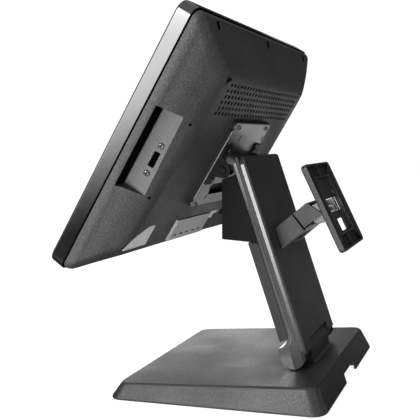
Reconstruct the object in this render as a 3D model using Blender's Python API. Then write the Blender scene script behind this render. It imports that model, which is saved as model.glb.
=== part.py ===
"""A touchscreen checkout terminal on a folding stand, with a tilting bracket for a customer display.

Metres, +Z up. The screen faces -Y and the rear faces +Y. The origin is on the desk, under the middle
of the terminal's box. Each group of pieces is drawn in the frame of the joint that it turns on.
"""

import math

import bmesh
import bpy
from mathutils import Matrix, Vector

MM = 0.001
GAP = 0.3 * MM
WALL = 2.2 * MM

# The stand
BASE_HALF = 123.5 * MM
BASE_TOP_HALF = 112.6 * MM
BASE_CENTRE_Y = 1.8 * MM
BASE_EDGE_Z = 1.2 * MM
BASE_FRONT_Z = 17.6 * MM
BASE_SLOPE = 0.0439
HINGE_Y = 77.2 * MM
HINGE_Z = 41.4 * MM
KNUCKLE_HALF = 35.2 * MM
KNUCKLE_RADIUS = 14.8 * MM
SHAFT_RADIUS = 4.9 * MM

# The arm, drawn about the foot hinge: y to its rear, z up along it
ARM_LEAN = math.radians(14.45)
ARM_HALF = 63.7 * MM
ARM_REAR = 15.8 * MM
FOOT_RADIUS = 14.2 * MM
CHEEK_INNER = 36.6 * MM
CHEEK_OUTER = 60.3 * MM

# The head, drawn from the lower edge of its front face: y is depth behind that face, z is up the screen
HEAD_TILT = math.radians(36.87)
HEAD_HALF = 179.0 * MM
HEAD_HEIGHT = 295.0 * MM
HEAD_RADIUS = 11.0 * MM
BEZEL_DEPTH = 17.3 * MM
PLATE_FACE = 62.8 * MM
TILT_Y = -13.5 * MM
TILT_Z = 213.7 * MM
TILT_DEPTH = 74.7 * MM
TILT_UP = 152.0 * MM

# The display bracket on the arm's rear, drawn along its bar, and the tray, drawn about its own hinge
BRACKET_Z = 124.55 * MM
BRACKET_RISE = math.radians(20.8)
BRACKET_HALF = 34.0 * MM
TRAY_AXIS = (52.8 * MM, -7.0 * MM)
TRAY_LEAN = math.radians(21.5)
TRAY_HALF = 49.0 * MM
TRAY_FRONT = 6.9 * MM
TRAY_REAR = 13.5 * MM
TRAY_LOW = -48.0 * MM
TRAY_HIGH = 52.5 * MM
EAR_RADIUS = 11.2 * MM

LOOKS = {
    "gloss": ((0.012, 0.012, 0.013), 0.15, 0.0),
    "textured": ((0.035, 0.035, 0.037), 0.55, 0.0),
    "satin": ((0.05, 0.05, 0.052), 0.38, 0.0),
    "casting": ((0.06, 0.06, 0.062), 0.45, 0.2),
    "steel": ((0.32, 0.32, 0.33), 0.35, 1.0),
    "bright": ((0.75, 0.75, 0.76), 0.18, 1.0),
    "aluminium": ((0.62, 0.62, 0.63), 0.3, 1.0),
    "rubber": ((0.015, 0.015, 0.015), 0.85, 0.0),
    "glass": ((0.02, 0.021, 0.023), 0.05, 0.0),
    "board": ((0.02, 0.09, 0.04), 0.5, 0.0),
    "label": ((0.85, 0.85, 0.84), 0.5, 0.0),
}


class Frame:
    """An empty that pieces are parented to. The datum is where its pieces are drawn from."""

    def __init__(self, name, parent=None, location=(0, 0, 0), rotation=(0, 0, 0), datum=(0, 0, 0)):
        self.empty = bpy.data.objects.new(name, None)
        bpy.context.collection.objects.link(self.empty)
        self.empty.parent = parent.empty if parent else None
        self.empty.location = location
        self.empty.rotation_euler = rotation
        self.datum = Vector(datum)


def mm(*points):
    return [tuple(value * MM for value in point) for point in points]


def fillet(corners, radius, steps=4):
    """The outline with its corners rounded. The radius is one value, or one for each corner."""
    radii = radius if isinstance(radius, (list, tuple)) else [radius] * len(corners)
    outline = []
    for i, corner in enumerate(corners):
        here = Vector(corner)
        if not radii[i]:
            outline.append(tuple(here))
            continue
        before = (Vector(corners[i - 1]) - here).normalized()
        after = (Vector(corners[(i + 1) % len(corners)]) - here).normalized()
        half = before.angle(after) / 2
        centre = here + (before + after).normalized() * radii[i] / math.sin(half)
        start = here + before * radii[i] / math.tan(half) - centre
        turn = math.pi - 2 * half
        if before.x * after.y - before.y * after.x > 0:
            turn = -turn
        for k in range(steps + 1):
            outline.append(tuple(centre + Matrix.Rotation(turn * k / steps, 2) @ start))
    return outline


def rectangle(x0, x1, y0, y1, radius=0.0, steps=4):
    return fillet([(x0, y0), (x1, y0), (x1, y1), (x0, y1)], radius, steps)


def arc(radius, start, end, steps, centre=(0.0, 0.0)):
    """Points on an arc, the angles in degrees."""
    angles = [math.radians(start + (end - start) * k / steps) for k in range(steps + 1)]
    return [(centre[0] + radius * math.cos(a), centre[1] + radius * math.sin(a)) for a in angles]


def circle(radius, centre=(0.0, 0.0), steps=24):
    return arc(radius, 0, 360 * (steps - 1) / steps, steps - 1, centre)


def slot(width, height, centre):
    """A rounded slot, taller than it is wide."""
    x, y = centre
    reach = (height - width) / 2
    low = arc(width / 2, 180, 360, 6, (x, y - reach))
    return low + arc(width / 2, 0, 180, 6, (x, y + reach))


def cross(reach, half):
    """The outline of a cross-shaped screwdriver recess."""
    quarter = [(reach, -half), (reach, half), (half, half)]
    return [tuple(Matrix.Rotation(math.pi / 2 * k, 2) @ Vector(p)) for k in range(4) for p in quarter]


def along(axis, outline, distance):
    """A flat outline placed at a distance along an axis."""
    if axis == "X":
        return [(distance, a, b) for a, b in outline]
    if axis == "Y":
        return [(a, distance, b) for a, b in outline]
    return [(a, b, distance) for a, b in outline]


def solid(frame, name, stacks, look="satin"):
    """One object from closed stacks of rings, each ring with as many points as the one before it."""
    bm = bmesh.new()
    for rings in stacks:
        loops = [[bm.verts.new(Vector(point) + frame.datum) for point in ring] for ring in rings]
        for low, high in zip(loops, loops[1:]):
            for i in range(len(low)):
                j = (i + 1) % len(low)
                bm.faces.new((low[i], low[j], high[j], high[i]))
        bm.faces.new(loops[0][::-1])
        bm.faces.new(loops[-1])
    bmesh.ops.recalc_face_normals(bm, faces=bm.faces)
    mesh = bpy.data.meshes.new(name)
    bm.to_mesh(mesh)
    bm.free()
    piece = bpy.data.objects.new(name, mesh)
    bpy.context.collection.objects.link(piece)
    piece.parent = frame.empty
    material = bpy.data.materials.new(name)
    material.use_nodes = True
    shader = material.node_tree.nodes["Principled BSDF"]
    colour, roughness, metallic = LOOKS[look]
    shader.inputs["Base Color"].default_value = (*colour, 1)
    shader.inputs["Roughness"].default_value = roughness
    shader.inputs["Metallic"].default_value = metallic
    mesh.materials.append(material)
    return piece


def prism(frame, name, axis, outline, low, high, look="satin"):
    return solid(frame, name, [[along(axis, outline, low), along(axis, outline, high)]], look)


def prisms(frame, name, axis, outlines, low, high):
    """Several separate prisms in one object, which cuts several holes at once."""
    return solid(frame, name, [[along(axis, o, low), along(axis, o, high)] for o in outlines])


def box(frame, name, x, y, z, look="satin"):
    return prism(frame, name, "X", rectangle(*y, *z), *x, look)


def change(piece, operation, others):
    for other in others:
        modifier = piece.modifiers.new(other.name, "BOOLEAN")
        modifier.operation = operation
        modifier.object = other
        other.hide_render = True
        other.display_type = "WIRE"
    return piece


def cut(piece, *cutters):
    return change(piece, "DIFFERENCE", cutters)


def fuse(piece, *others):
    return change(piece, "UNION", others)


def screw(frame, name, axis, centre, seat, out, head_radius, shank, length, look="bright"):
    """A cross-head screw. Its head sits at the seat and rises towards out, which is 1 or -1."""
    head = head_radius * 0.62
    rings = [(shank, -length), (shank, 0), (head_radius, 0), (head_radius, head * 0.55)]
    rings += [(head_radius * 0.72, head)]
    stack = [along(axis, circle(r, centre, 16), seat + out * t) for r, t in rings]
    piece = solid(frame, name, [stack], look)
    recess = [(centre[0] + a, centre[1] + b) for a, b in cross(head_radius * 0.58, head_radius * 0.14)]
    driver = prism(frame, name + "_recess", axis, recess, seat + out * head * 0.35, seat + out * head * 2)
    return cut(piece, driver)


# --- the base -------------------------------------------------------------------------------------


def base_top(y):
    """The height of the base's sloping top at a distance behind the origin."""
    return BASE_FRONT_Z + BASE_SLOPE * (y - BASE_CENTRE_Y + BASE_TOP_HALF)


def base_ring(half, radius, drop=None, z=None):
    outline = rectangle(-half, half, BASE_CENTRE_Y - half, BASE_CENTRE_Y + half, radius)
    return [(x, y, z if drop is None else base_top(y) - drop) for x, y in outline]


def build_base(frame):
    edge, skin = 1.6 * MM, 3.0 * MM
    outer = [
        base_ring(BASE_HALF, 15 * MM, z=BASE_EDGE_Z),
        base_ring(BASE_HALF, 15 * MM, z=BASE_EDGE_Z + 1.8 * MM),
        base_ring(BASE_TOP_HALF + edge, 12 * MM, drop=edge),
        base_ring(BASE_TOP_HALF, 10.5 * MM, drop=0),
    ]
    shell = solid(frame, "base_shell", [outer], "casting")
    inner = [
        base_ring(BASE_HALF - skin, 12 * MM, z=-5 * MM),
        base_ring(BASE_HALF - skin, 12 * MM, z=5.2 * MM),
        base_ring(BASE_TOP_HALF - skin, 9 * MM, drop=skin),
    ]
    cavity = solid(frame, "base_cavity", [inner])
    rear = BASE_CENTRE_Y + BASE_HALF
    notch = mm((-26.5, -2), (26.5, -2), (22, 11), (-22, 11))
    doorway = prism(frame, "base_cable_notch", "Y", notch, rear - 24 * MM, rear + 5 * MM)
    bolts = [circle(2.8 * MM, (x, HINGE_Y)) for x in (-22 * MM, 22 * MM)]
    bolt_holes = prisms(frame, "base_bolt_holes", "Z", bolts, 5 * MM, 40 * MM)
    cut(shell, cavity, doorway, bolt_holes)

    plate_edge = BASE_HALF - skin - 0.5 * MM
    low, high = BASE_CENTRE_Y - plate_edge, BASE_CENTRE_Y + plate_edge
    outline = rectangle(-plate_edge, plate_edge, low, high, 11.5 * MM)
    plate = prism(frame, "base_weight_plate", "Z", outline, 1.8 * MM, 4.8 * MM, "steel")
    cut(plate, box(frame, "plate_notch", (-28 * MM, 28 * MM), (rear - 26 * MM, rear), (0, 10 * MM)))

    foot = 103 * MM
    corners = [(x, BASE_CENTRE_Y + y) for x in (-foot, foot) for y in (-foot, foot)]
    for number, corner in enumerate(corners, 1):
        rings = [(8.2, 0), (9, 0.5), (9, 1.5)]
        stack = [along("Z", circle(r * MM, corner, 20), z * MM) for r, z in rings]
        solid(frame, f"rubber_foot_{number}", [stack], "rubber")


def build_foot_hinge(frame):
    """The knuckle that stands on the base, its shaft and the two bolts from inside the base."""
    radius = KNUCKLE_RADIUS
    outline = [(HINGE_Y + y, HINGE_Z + z) for y, z in arc(radius, 0, 180, 16)]
    outline += [(HINGE_Y + y, base_top(HINGE_Y + y) + GAP) for y in (-radius, radius)]
    knuckle = prism(frame, "hinge_knuckle", "X", outline, -KNUCKLE_HALF, KNUCKLE_HALF, "satin")
    bore = circle(SHAFT_RADIUS + GAP, (HINGE_Y, HINGE_Z))
    sockets = [circle(2.8 * MM, (x, HINGE_Y)) for x in (-22 * MM, 22 * MM)]
    cut(
        knuckle,
        prism(frame, "knuckle_bore", "X", bore, -50 * MM, 50 * MM),
        prisms(frame, "knuckle_sockets", "Z", sockets, 10 * MM, 34.5 * MM),
    )
    shaft = [(4.2, -59), (4.9, -58), (4.9, 58), (4.2, 59)]
    stack = [along("X", circle(r * MM, (HINGE_Y, HINGE_Z)), x * MM) for r, x in shaft]
    solid(frame, "hinge_shaft", [stack], "bright")
    for number, x in enumerate((-22 * MM, 22 * MM), 1):
        seat = base_top(HINGE_Y) - 3.6 * MM
        screw(frame, f"hinge_bolt_{number}", "Z", (x, HINGE_Y), seat, -1, 4.5 * MM, 2.4 * MM, 11.5 * MM)


# --- the arm --------------------------------------------------------------------------------------


def build_arm_core(frame):
    """The cast frame: a plate up the arm, and two cheeks round the foot shaft."""
    outline = mm((3.3, 216), (3.3, 30), (2.9, 23), (0.7, 18.4), (-1.6, 14.4), (-5.6, 12.0), (-11.9, 11.4))
    outline += arc(FOOT_RADIUS, 150, 268, 12)
    outline += mm((-0.5, 11.0), (3.4, 14.6), (5.9, 19.6), (7.1, 28), (7.1, 216))
    core = prism(frame, "arm_core", "X", outline, -ARM_HALF, ARM_HALF, "satin")
    web = mm((12.8, 26), (12.8, 4)) + arc(13.2 * MM, 15, -100, 10) + mm((-2.6, 4), (2.5, 13.5), (5, 26))
    cheeks = prism(frame, "arm_cheeks", "X", web, -CHEEK_OUTER, CHEEK_OUTER)
    fuse(core, cheeks)
    knuckle = (-CHEEK_INNER, CHEEK_INNER), (-30 * MM, 30 * MM), (-30 * MM, 17.5 * MM)
    between = box(frame, "arm_knuckle_space", *knuckle)
    bore = prism(frame, "arm_shaft_bore", "X", circle(SHAFT_RADIUS + GAP), -59.7 * MM, 59.7 * MM)
    window = rectangle(-40 * MM, 40 * MM, 44 * MM, 112 * MM, 8 * MM)
    upper = rectangle(-40 * MM, 40 * MM, 138 * MM, 196 * MM, 8 * MM)
    cut(core, between, bore, prisms(frame, "arm_core_windows", "Y", [window, upper], -20 * MM, 30 * MM))


def build_arm_covers(frame):
    """The front cover, and the rear cover with a bright trim strip let into each side."""
    front = mm((2.9, 125.9), (-8.2, 130.0), (-8.2, 17.7), (0.2, 18.4), (2.4, 23), (2.9, 30))
    cover = prism(frame, "arm_front_cover", "X", front, -ARM_HALF, ARM_HALF, "satin")
    inside = mm((6, 122), (-6, 126), (-6, 20.5), (6, 20.5))
    inner = ARM_HALF - WALL
    cut(cover, prism(frame, "arm_front_space", "X", inside, -inner, inner))

    rear = [(-0.1, 11.2), (-0.1, -14.2)]
    for degrees in range(-80, 0, 15):
        reach = 14.2 + 1.66 * ((degrees + 90) / 85) ** 3
        angle = math.radians(degrees)
        rear.append((reach * math.cos(angle), reach * math.sin(angle)))
    rear += [(15.8, -1), (15.8, 218.6), (13.2, 221.2), (7.5, 221.2), (7.5, 28.4), (6.3, 19.8), (3.8, 14.9)]
    cover = prism(frame, "arm_rear_cover", "X", mm(*rear), -ARM_HALF, ARM_HALF, "satin")
    inner = CHEEK_OUTER + 0.4 * MM
    hollow = box(frame, "arm_rear_space", (-inner, inner), (-20 * MM, 13.6 * MM), (-20 * MM, 218.5 * MM))
    opening = box(frame, "knuckle_slot", (-35.8 * MM, 35.8 * MM), (0, 20 * MM), (-20 * MM, 9.8 * MM))
    below = box(frame, "foot_underside", (-inner, inner), (-20 * MM, 20 * MM), (-30 * MM, -1.2 * MM))
    strips = mm((-70, -62.4), (62.4, 70))
    grooves = [
        box(frame, f"trim_groove_{side}", x, (10.7 * MM, 14.5 * MM), (1.5 * MM, 214.5 * MM))
        for side, x in zip(("left", "right"), strips)
    ]
    cut(cover, hollow, opening, below, *grooves)

    trim = mm((11, 1.8), (14.2, 1.8), (14.2, 214.2), (11, 214.2))
    for side, x in (("left", (-63.8, -62.7)), ("right", (62.7, 63.8))):
        prism(frame, f"arm_trim_{side}", "X", trim, x[0] * MM, x[1] * MM, "aluminium")


def build_neck(frame):
    """The wedge-shaped housing in front of the arm's top, and the two friction barrels above it."""
    outline = mm((2.9, 126.6), (-36.2, 141.9), (-14.4, 204), (2.9, 204))
    housing = prism(frame, "neck_housing", "X", outline, -ARM_HALF, ARM_HALF, "satin")
    inside = mm((8, 126.6), (-33.3, 143.2), (-13, 201.6), (8, 201.6))
    inner = ARM_HALF - WALL
    cut(housing, prism(frame, "neck_space", "X", inside, -inner, inner))

    for side, sign in (("left", -1), ("right", 1)):
        near, far = sorted((sign * 37 * MM, sign * 52.4 * MM))
        round_face = circle(6.5 * MM, (TILT_Y, TILT_Z))
        barrel = prism(frame, f"tilt_barrel_{side}", "X", round_face, near, far, "steel")
        foot = mm((-13.5, 209.5), (3.0, 209.5), (3.0, 215.8), (-13.5, 217.9))
        block = prism(frame, f"tilt_barrel_foot_{side}", "X", foot, near + 0.4 * MM, far - 0.4 * MM)
        ends = sorted((sign * 40 * MM, sign * 58.5 * MM))
        pin = prism(frame, f"tilt_barrel_pin_{side}", "X", circle(3 * MM, (TILT_Y, TILT_Z), 16), *ends)
        fuse(barrel, block, pin)


# --- the head -------------------------------------------------------------------------------------

MIDDLE = HEAD_HEIGHT / 2
# Depth, half width at the top and at the bottom, lower end and upper end
COVER_STATIONS = mm(
    (17.7, 177.5, 177.5, 1.8, 293.2),
    (24.0, 176.5, 176.5, 3.5, 292.0),
    (27.0, 174.2, 174.5, 6.5, 289.5),
    (30.0, 170.5, 171.5, 10.5, 286.0),
    (39.8, 160.0, 163.0, 22.0, 273.5),
    (49.5, 145.0, 153.0, 33.0, 261.5),
    (54.8, 134.5, 146.0, 39.0, 254.0),
    (56.9, 126.5, 139.5, 45.0, 248.0),
)
COVER_RADII = mm((10, 10.5, 11, 12, 14, 15, 15, 12))[0]
COVER_REAR = 56.9 * MM
RECESS_CORNER = (158.6 * MM, 26.1 * MM)
RECESS_TURN = math.radians(18.4)
RECESS_LOW, RECESS_HIGH = 111.5 * MM, 199.0 * MM
PLATE_SCREWS = mm((-44, 97.5), (44, 97.5), (-44, 199.4), (44, 199.4))
COVER_SCREWS = mm((-142, 288), (0, 288), (141, 288))
LEAF_SCREWS = mm((-41.5, 132.5), (-41.5, 171.5), (41.5, 132.5), (41.5, 171.5))


def cover_rings(shrink):
    """The rear cover's surface, or the same surface shrunk inwards by a wall."""
    rings = []
    for (depth, top, bottom, low, high), radius in zip(COVER_STATIONS, COVER_RADII):
        corners = [(-bottom + shrink, low + shrink), (bottom - shrink, low + shrink)]
        corners += [(top - shrink, high - shrink), (-top + shrink, high - shrink)]
        rings.append(along("Y", fillet(corners, radius - shrink / 2, 5), depth - shrink))
    return rings


def recess_outline(extra):
    """The side recess across the head: a ledge, and a floor that faces the side and the rear."""
    x, y = RECESS_CORNER
    floor = (-math.sin(RECESS_TURN), math.cos(RECESS_TURN))
    x -= extra * (1 - math.sin(RECESS_TURN)) / math.cos(RECESS_TURN)
    y -= extra
    far, reach = 210 * MM, 60 * MM
    return [(x, y), (far, y), (far, 80 * MM), (x + floor[0] * reach, y + floor[1] * reach)]


def recess_rings(extra):
    """The recess runs up the side, and its lower end slopes outwards."""
    outline = recess_outline(extra)
    slant = [0, 5 * MM, 5 * MM, 2.5 * MM]
    low = [(x, y, RECESS_LOW - s - extra) for (x, y), s in zip(outline, slant)]
    return [low, [(x, y, RECESS_HIGH + extra) for x, y in outline]]


def bay_outline(extra):
    """The shallow bay along the cover's lower edge, which narrows upwards on the +X side."""
    points = mm((-118, 72.8), (118.5, 72.8), (137.5, 63), (153, 43), (158, -5), (-118, -5))
    shift = [(-1, 1), (1, 1), (1, 1), (1, 0.5), (1, 0), (-1, 0)]
    return [(x + a * extra, y + b * extra) for (x, y), (a, b) in zip(points, shift)]


def cavity_outline(extra):
    return rectangle(-116 * MM - extra, -52 * MM + extra, -5 * MM, 69 * MM + extra)


def vent_outlines():
    """Six rows of slots across the top of the cover's rear face."""
    slots, pitch, wide = 5, 46.4 * MM, 21.4 * MM
    outlines = []
    for row in range(6):
        z = (211.5 + 6.4 * row) * MM
        shift = (2.2 if row % 2 else 0) * MM
        for column in range(slots):
            x = (column - (slots - 1) / 2) * pitch + shift - MM
            outlines.append(rectangle(x - wide, x + wide, z - 1.4 * MM, z + 1.4 * MM))
    return outlines


def build_rear_cover(frame):
    cover = solid(frame, "rear_cover", [cover_rings(0)], "textured")
    inside = solid(frame, "cover_space", [cover_rings(WALL)])
    bosses = [circle(5.2 * MM, at, 12) for at in COVER_SCREWS]
    cut(
        inside,
        solid(frame, "recess_walls", [recess_rings(WALL)]),
        prism(frame, "bay_walls", "Y", bay_outline(WALL), 51.2 * MM, 70 * MM),
        prism(frame, "cavity_walls", "Y", cavity_outline(WALL), 32.7 * MM, 70 * MM),
        prisms(frame, "cover_bosses", "Y", bosses, 0, 70 * MM),
    )
    wells = [circle(3.3 * MM, at, 16) for at in COVER_SCREWS]
    shanks = [circle(1.7 * MM, at, 12) for at in COVER_SCREWS]
    plain = [circle(1.7 * MM, at, 12) for at in PLATE_SCREWS]
    small = [circle(1.5 * MM, at, 12) for at in mm((143, 194.5), (146, 109.5), (60, 77.6), (172.5, 148.5))]
    cut(
        cover,
        inside,
        solid(frame, "side_recess", [recess_rings(0)]),
        prism(frame, "port_bay", "Y", bay_outline(0), 53.5 * MM, 80 * MM),
        prism(frame, "connector_cavity", "Y", cavity_outline(0), 34.9 * MM, 90 * MM),
        prisms(frame, "vents", "Y", vent_outlines(), 52 * MM, 60 * MM),
        prisms(frame, "screw_wells", "Y", wells, 21 * MM, 0.1),
        prisms(frame, "shank_holes", "Y", shanks, 10 * MM, 22 * MM),
        prisms(frame, "plate_screw_holes", "Y", plain, 48 * MM, 60 * MM),
        prisms(frame, "small_holes", "Y", small, 20 * MM, 60 * MM),
    )
    for number, at in enumerate(COVER_SCREWS, 1):
        screw(frame, f"cover_screw_{number}", "Y", at, 21.3 * MM, 1, 2.7 * MM, 1.4 * MM, 4 * MM)


def build_front(frame):
    """The bezel with its power button, the touch glass, the panel and the sheet chassis behind it."""
    def ring(inset, depth):
        high = HEAD_HEIGHT - inset
        half = HEAD_HALF - inset
        return along("Y", rectangle(-half, half, inset, high, HEAD_RADIUS - inset * 0.4, 5), depth)

    rings = [ring(2.6 * MM, 0), ring(0.8 * MM, 0.8 * MM), ring(0, 2.8 * MM), ring(0, BEZEL_DEPTH)]
    bezel = solid(frame, "front_bezel", [rings], "gloss")
    space = solid(frame, "bezel_space", [[ring(2.5 * MM, 3 * MM), ring(2.5 * MM, 20 * MM)]])
    half, tall = 155 * MM, 117 * MM
    view = [
        along("Y", rectangle(-half - g, half + g, MIDDLE - tall - g, MIDDLE + tall + g), y)
        for g, y in mm((2.4, -1), (1.6, 0), (0, 1.8), (0, 5))
    ]
    cut(bezel, space, solid(frame, "bezel_opening", [view]))
    cut(bezel, box(frame, "button_hole", (143.6 * MM, 156.4 * MM), (4.6 * MM, 11.4 * MM), (-5 * MM, 5 * MM)))

    half, tall = 162 * MM, 124 * MM
    outline = rectangle(-half, half, MIDDLE - tall, MIDDLE + tall, 2 * MM)
    prism(frame, "touch_glass", "Y", outline, 3.3 * MM, 6.3 * MM, "glass")
    prism(frame, "lcd_panel", "Y", outline, 6.6 * MM, 15.0 * MM, "steel")
    chassis = prism(frame, "panel_chassis", "Y", outline, 15.3 * MM, 18.2 * MM, "steel")
    tray = rectangle(-half + 1.5 * MM, half - 1.5 * MM, MIDDLE - tall + 1.5 * MM, MIDDLE + tall - 1.5 * MM)
    hole = rectangle(-60 * MM, 60 * MM, 100 * MM, 196 * MM, 8 * MM)
    cut(chassis, prism(frame, "chassis_tray", "Y", tray, 16.8 * MM, 30 * MM))
    cut(chassis, prism(frame, "chassis_hole", "Y", hole, 10 * MM, 30 * MM))


def build_electronics(frame):
    """The board and what stands on it, the drive, the speaker and the sockets."""
    board = rectangle(-98 * MM, 98 * MM, 76 * MM, 205 * MM, 2 * MM)
    prism(frame, "motherboard", "Y", board, 30 * MM, 31.6 * MM, "board")
    block = (-30 * MM, 30 * MM), (31.9 * MM, 47 * MM), (140 * MM, 200 * MM)
    sink = box(frame, "heat_sink", *block, "aluminium")
    fins = [rectangle(x - 2 * MM, x + 2 * MM, 35 * MM, 50 * MM) for x in mm((-24, -16, -8, 0, 8, 16, 24))[0]]
    cut(sink, prisms(frame, "heat_sink_slots", "Z", fins, 130 * MM, 210 * MM))
    drive = (-158 * MM, -102 * MM), (19 * MM, 28 * MM), (110 * MM, 210 * MM)
    box(frame, "storage_drive", *drive, "aluminium")
    cone = [(14, 19), (14, 24), (9, 28), (6, 28.5)]
    stack = [along("Y", circle(r * MM, (118 * MM, 224 * MM)), y * MM) for r, y in cone]
    solid(frame, "speaker", [stack], "textured")
    box(frame, "power_inlet", (-114 * MM, -100 * MM), (38 * MM, 50 * MM), (55 * MM, 68.7 * MM), "gloss")
    box(frame, "serial_socket", (-97 * MM, -76 * MM), (39 * MM, 49 * MM), (59 * MM, 68.7 * MM), "bright")
    box(frame, "network_socket", (-72 * MM, -56 * MM), (37 * MM, 51 * MM), (55 * MM, 68.7 * MM), "bright")


def build_ports(frame):
    """The bright panel and the label in the lower bay, and the side port's socket and screws."""
    panel = mm((-45, 41), (48, 41), (48, 70.5), (-38, 70.5), (-45, 62))
    cover = prism(frame, "io_panel", "Y", panel, 53.8 * MM, 56.7 * MM, "aluminium")
    fold = box(frame, "io_panel_fold", (-43.8 * MM, 46.8 * MM), (50 * MM, 55.7 * MM), (30 * MM, 69.3 * MM))
    cut(cover, fold)
    label = mm((98, 44), (146, 44), (132, 61), (122, 70), (98, 70))
    prism(frame, "rating_label", "Y", label, 53.8 * MM, 54.2 * MM, "label")

    x, y = RECESS_CORNER
    datum = frame.datum
    place = (x, y + datum.y, datum.z)
    port = Frame("side_port_frame", frame, place, (0, 0, RECESS_TURN))
    port.empty.parent = frame.empty
    socket = (-8.5 * MM, -2.6 * MM), (12 * MM, 18.4 * MM), (140 * MM, 155.7 * MM)
    box(port, "side_port_socket", *socket, "gloss")
    screws = mm((15.2, 132.0), (15.2, 163.4))
    holes = [circle(1.7 * MM, at, 12) for at in screws]
    holes.append(rectangle(12.1 * MM, 18.3 * MM, 139.6 * MM, 156.1 * MM))
    cut(bpy.data.objects["rear_cover"], prisms(port, "side_port_holes", "X", holes, -4 * MM, 2 * MM))
    for number, at in enumerate(screws, 1):
        screw(port, f"side_port_screw_{number}", "X", at, GAP, 1, 3.1 * MM, 1.4 * MM, 5 * MM)


def build_plate(frame):
    """The folded mounting plate on the head's rear, its screws and the two hinge leaves on it."""
    outer = rectangle(-55.5 * MM, 55.5 * MM, 94 * MM, 205.6 * MM, 4 * MM)
    inner = rectangle(-54 * MM, 54 * MM, 95.5 * MM, 204.1 * MM, 2.6 * MM)
    plate = prism(frame, "vesa_plate", "Y", outer, COVER_REAR + GAP, PLATE_FACE, "steel")
    window = mm((-22, 109), (22, 109), (30, 122), (22, 124), (-22, 124), (-30, 122))
    slots = [slot(2.8 * MM, 6.6 * MM, at) for at in mm((22.7, 185.5), (-49.7, 185.5), (24.6, 106))]
    slots += [slot(2.8 * MM, 6.6 * MM, at) for at in mm((-49.7, 106))]
    holes = [circle(1.7 * MM, at, 12) for at in PLATE_SCREWS + LEAF_SCREWS]
    cut(
        plate,
        prism(frame, "plate_fold", "Y", inner, 50 * MM, PLATE_FACE - 1.5 * MM),
        prisms(frame, "plate_openings", "Y", [window] + slots + holes, 60 * MM, 70 * MM),
    )
    for number, at in enumerate(PLATE_SCREWS, 1):
        screw(frame, f"plate_screw_{number}", "Y", at, PLATE_FACE + GAP, 1, 2.7 * MM, 1.4 * MM, 13 * MM)

    for side, sign in (("left", -1), ("right", 1)):
        face = PLATE_FACE + GAP
        flat = rectangle(*sorted((sign * 36 * MM, sign * 55.4 * MM)), 126 * MM, 178 * MM, 3 * MM)
        leaf = prism(frame, f"tilt_leaf_{side}", "Y", flat, face, face + 2 * MM, "steel")
        centre = (TILT_DEPTH, TILT_UP)
        ear = [(face + 0.4 * MM, TILT_UP + 12 * MM)] + arc(8.8 * MM, 75, -75, 12, centre)
        ear += [(face + 0.4 * MM, TILT_UP - 12 * MM)]
        near, far = sorted((sign * 52.7 * MM, sign * 55.3 * MM))
        tab = prism(frame, f"tilt_ear_{side}", "X", ear, near, far)
        bore = prism(frame, f"tilt_ear_bore_{side}", "X", circle(3.3 * MM, centre, 16), near - MM, far + MM)
        fuse(leaf, tab)
        own = [at for at in LEAF_SCREWS if at[0] * sign > 0]
        shanks = [circle(1.7 * MM, at, 12) for at in own]
        holes = prisms(frame, f"tilt_leaf_holes_{side}", "Y", shanks, 60 * MM, 70 * MM)
        cut(leaf, bore, holes)
    for number, at in enumerate(LEAF_SCREWS, 1):
        seat = PLATE_FACE + 2 * GAP + 2 * MM
        screw(frame, f"leaf_screw_{number}", "Y", at, seat, 1, 2.4 * MM, 1.4 * MM, 4.5 * MM)


def build_power_button(frame):
    """A push button in the lower edge of the bezel, with a flange behind the wall."""
    cap = box(frame, "power_button", (-6 * MM, 6 * MM), (-3 * MM, 3 * MM), (-3.7 * MM, 1.5 * MM), "satin")
    flange = box(frame, "button_flange", (-7.5 * MM, 7.5 * MM), (-3.9 * MM, 3.9 * MM), (0.4 * MM, 2 * MM))
    fuse(cap, flange)


# --- the display bracket --------------------------------------------------------------------------


def build_bracket(frame):
    """The fixed bar on the arm: a block on the arm, a cap over the hinge, and the hinge barrel."""
    outline = mm((3.9, 10.2), (28.6, 10.2), (28.6, -12), (-4.95, -13.05))
    block = prism(frame, "bracket_block", "X", outline, -BRACKET_HALF, BRACKET_HALF, "satin")
    tongue = box(frame, "bracket_tongue", (-30 * MM, 30 * MM), (20 * MM, 38 * MM), (-12.2 * MM, -10.3 * MM))
    inside = mm((7.5, 7.6), (26.2, 7.6), (26.2, -9.8), (1.2, -9.8))
    mouth = rectangle(-20 * MM, 20 * MM, 6 * MM, 22 * MM, 4 * MM)
    cut(
        fuse(block, tongue),
        prism(frame, "bracket_space", "X", inside, -31.5 * MM, 31.5 * MM),
        prism(frame, "bracket_mouth", "Z", mouth, -20 * MM, 0),
    )
    outline = mm((30.4, 10.2), (50.1, 10.2), (56, -9.6), (30.4, -9.6))
    cap = prism(frame, "bracket_cap", "X", outline, -BRACKET_HALF, BRACKET_HALF, "satin")
    inside = mm((32.6, 7.8), (70, 7.8), (70, -20), (32.6, -20))
    cut(cap, prism(frame, "cap_space", "X", inside, -31.5 * MM, 31.5 * MM))

    barrel = prism(frame, "tray_hinge_barrel", "X", circle(4.3 * MM, TRAY_AXIS), -21 * MM, 21 * MM, "bright")
    strap = box(frame, "barrel_strap", (-18 * MM, 18 * MM), (32.9 * MM, 50 * MM), (-5.6 * MM, -3.8 * MM))
    pin = prism(frame, "barrel_pin", "X", circle(2 * MM, TRAY_AXIS, 16), -31.2 * MM, 31.2 * MM)
    fuse(barrel, strap, pin)


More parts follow.
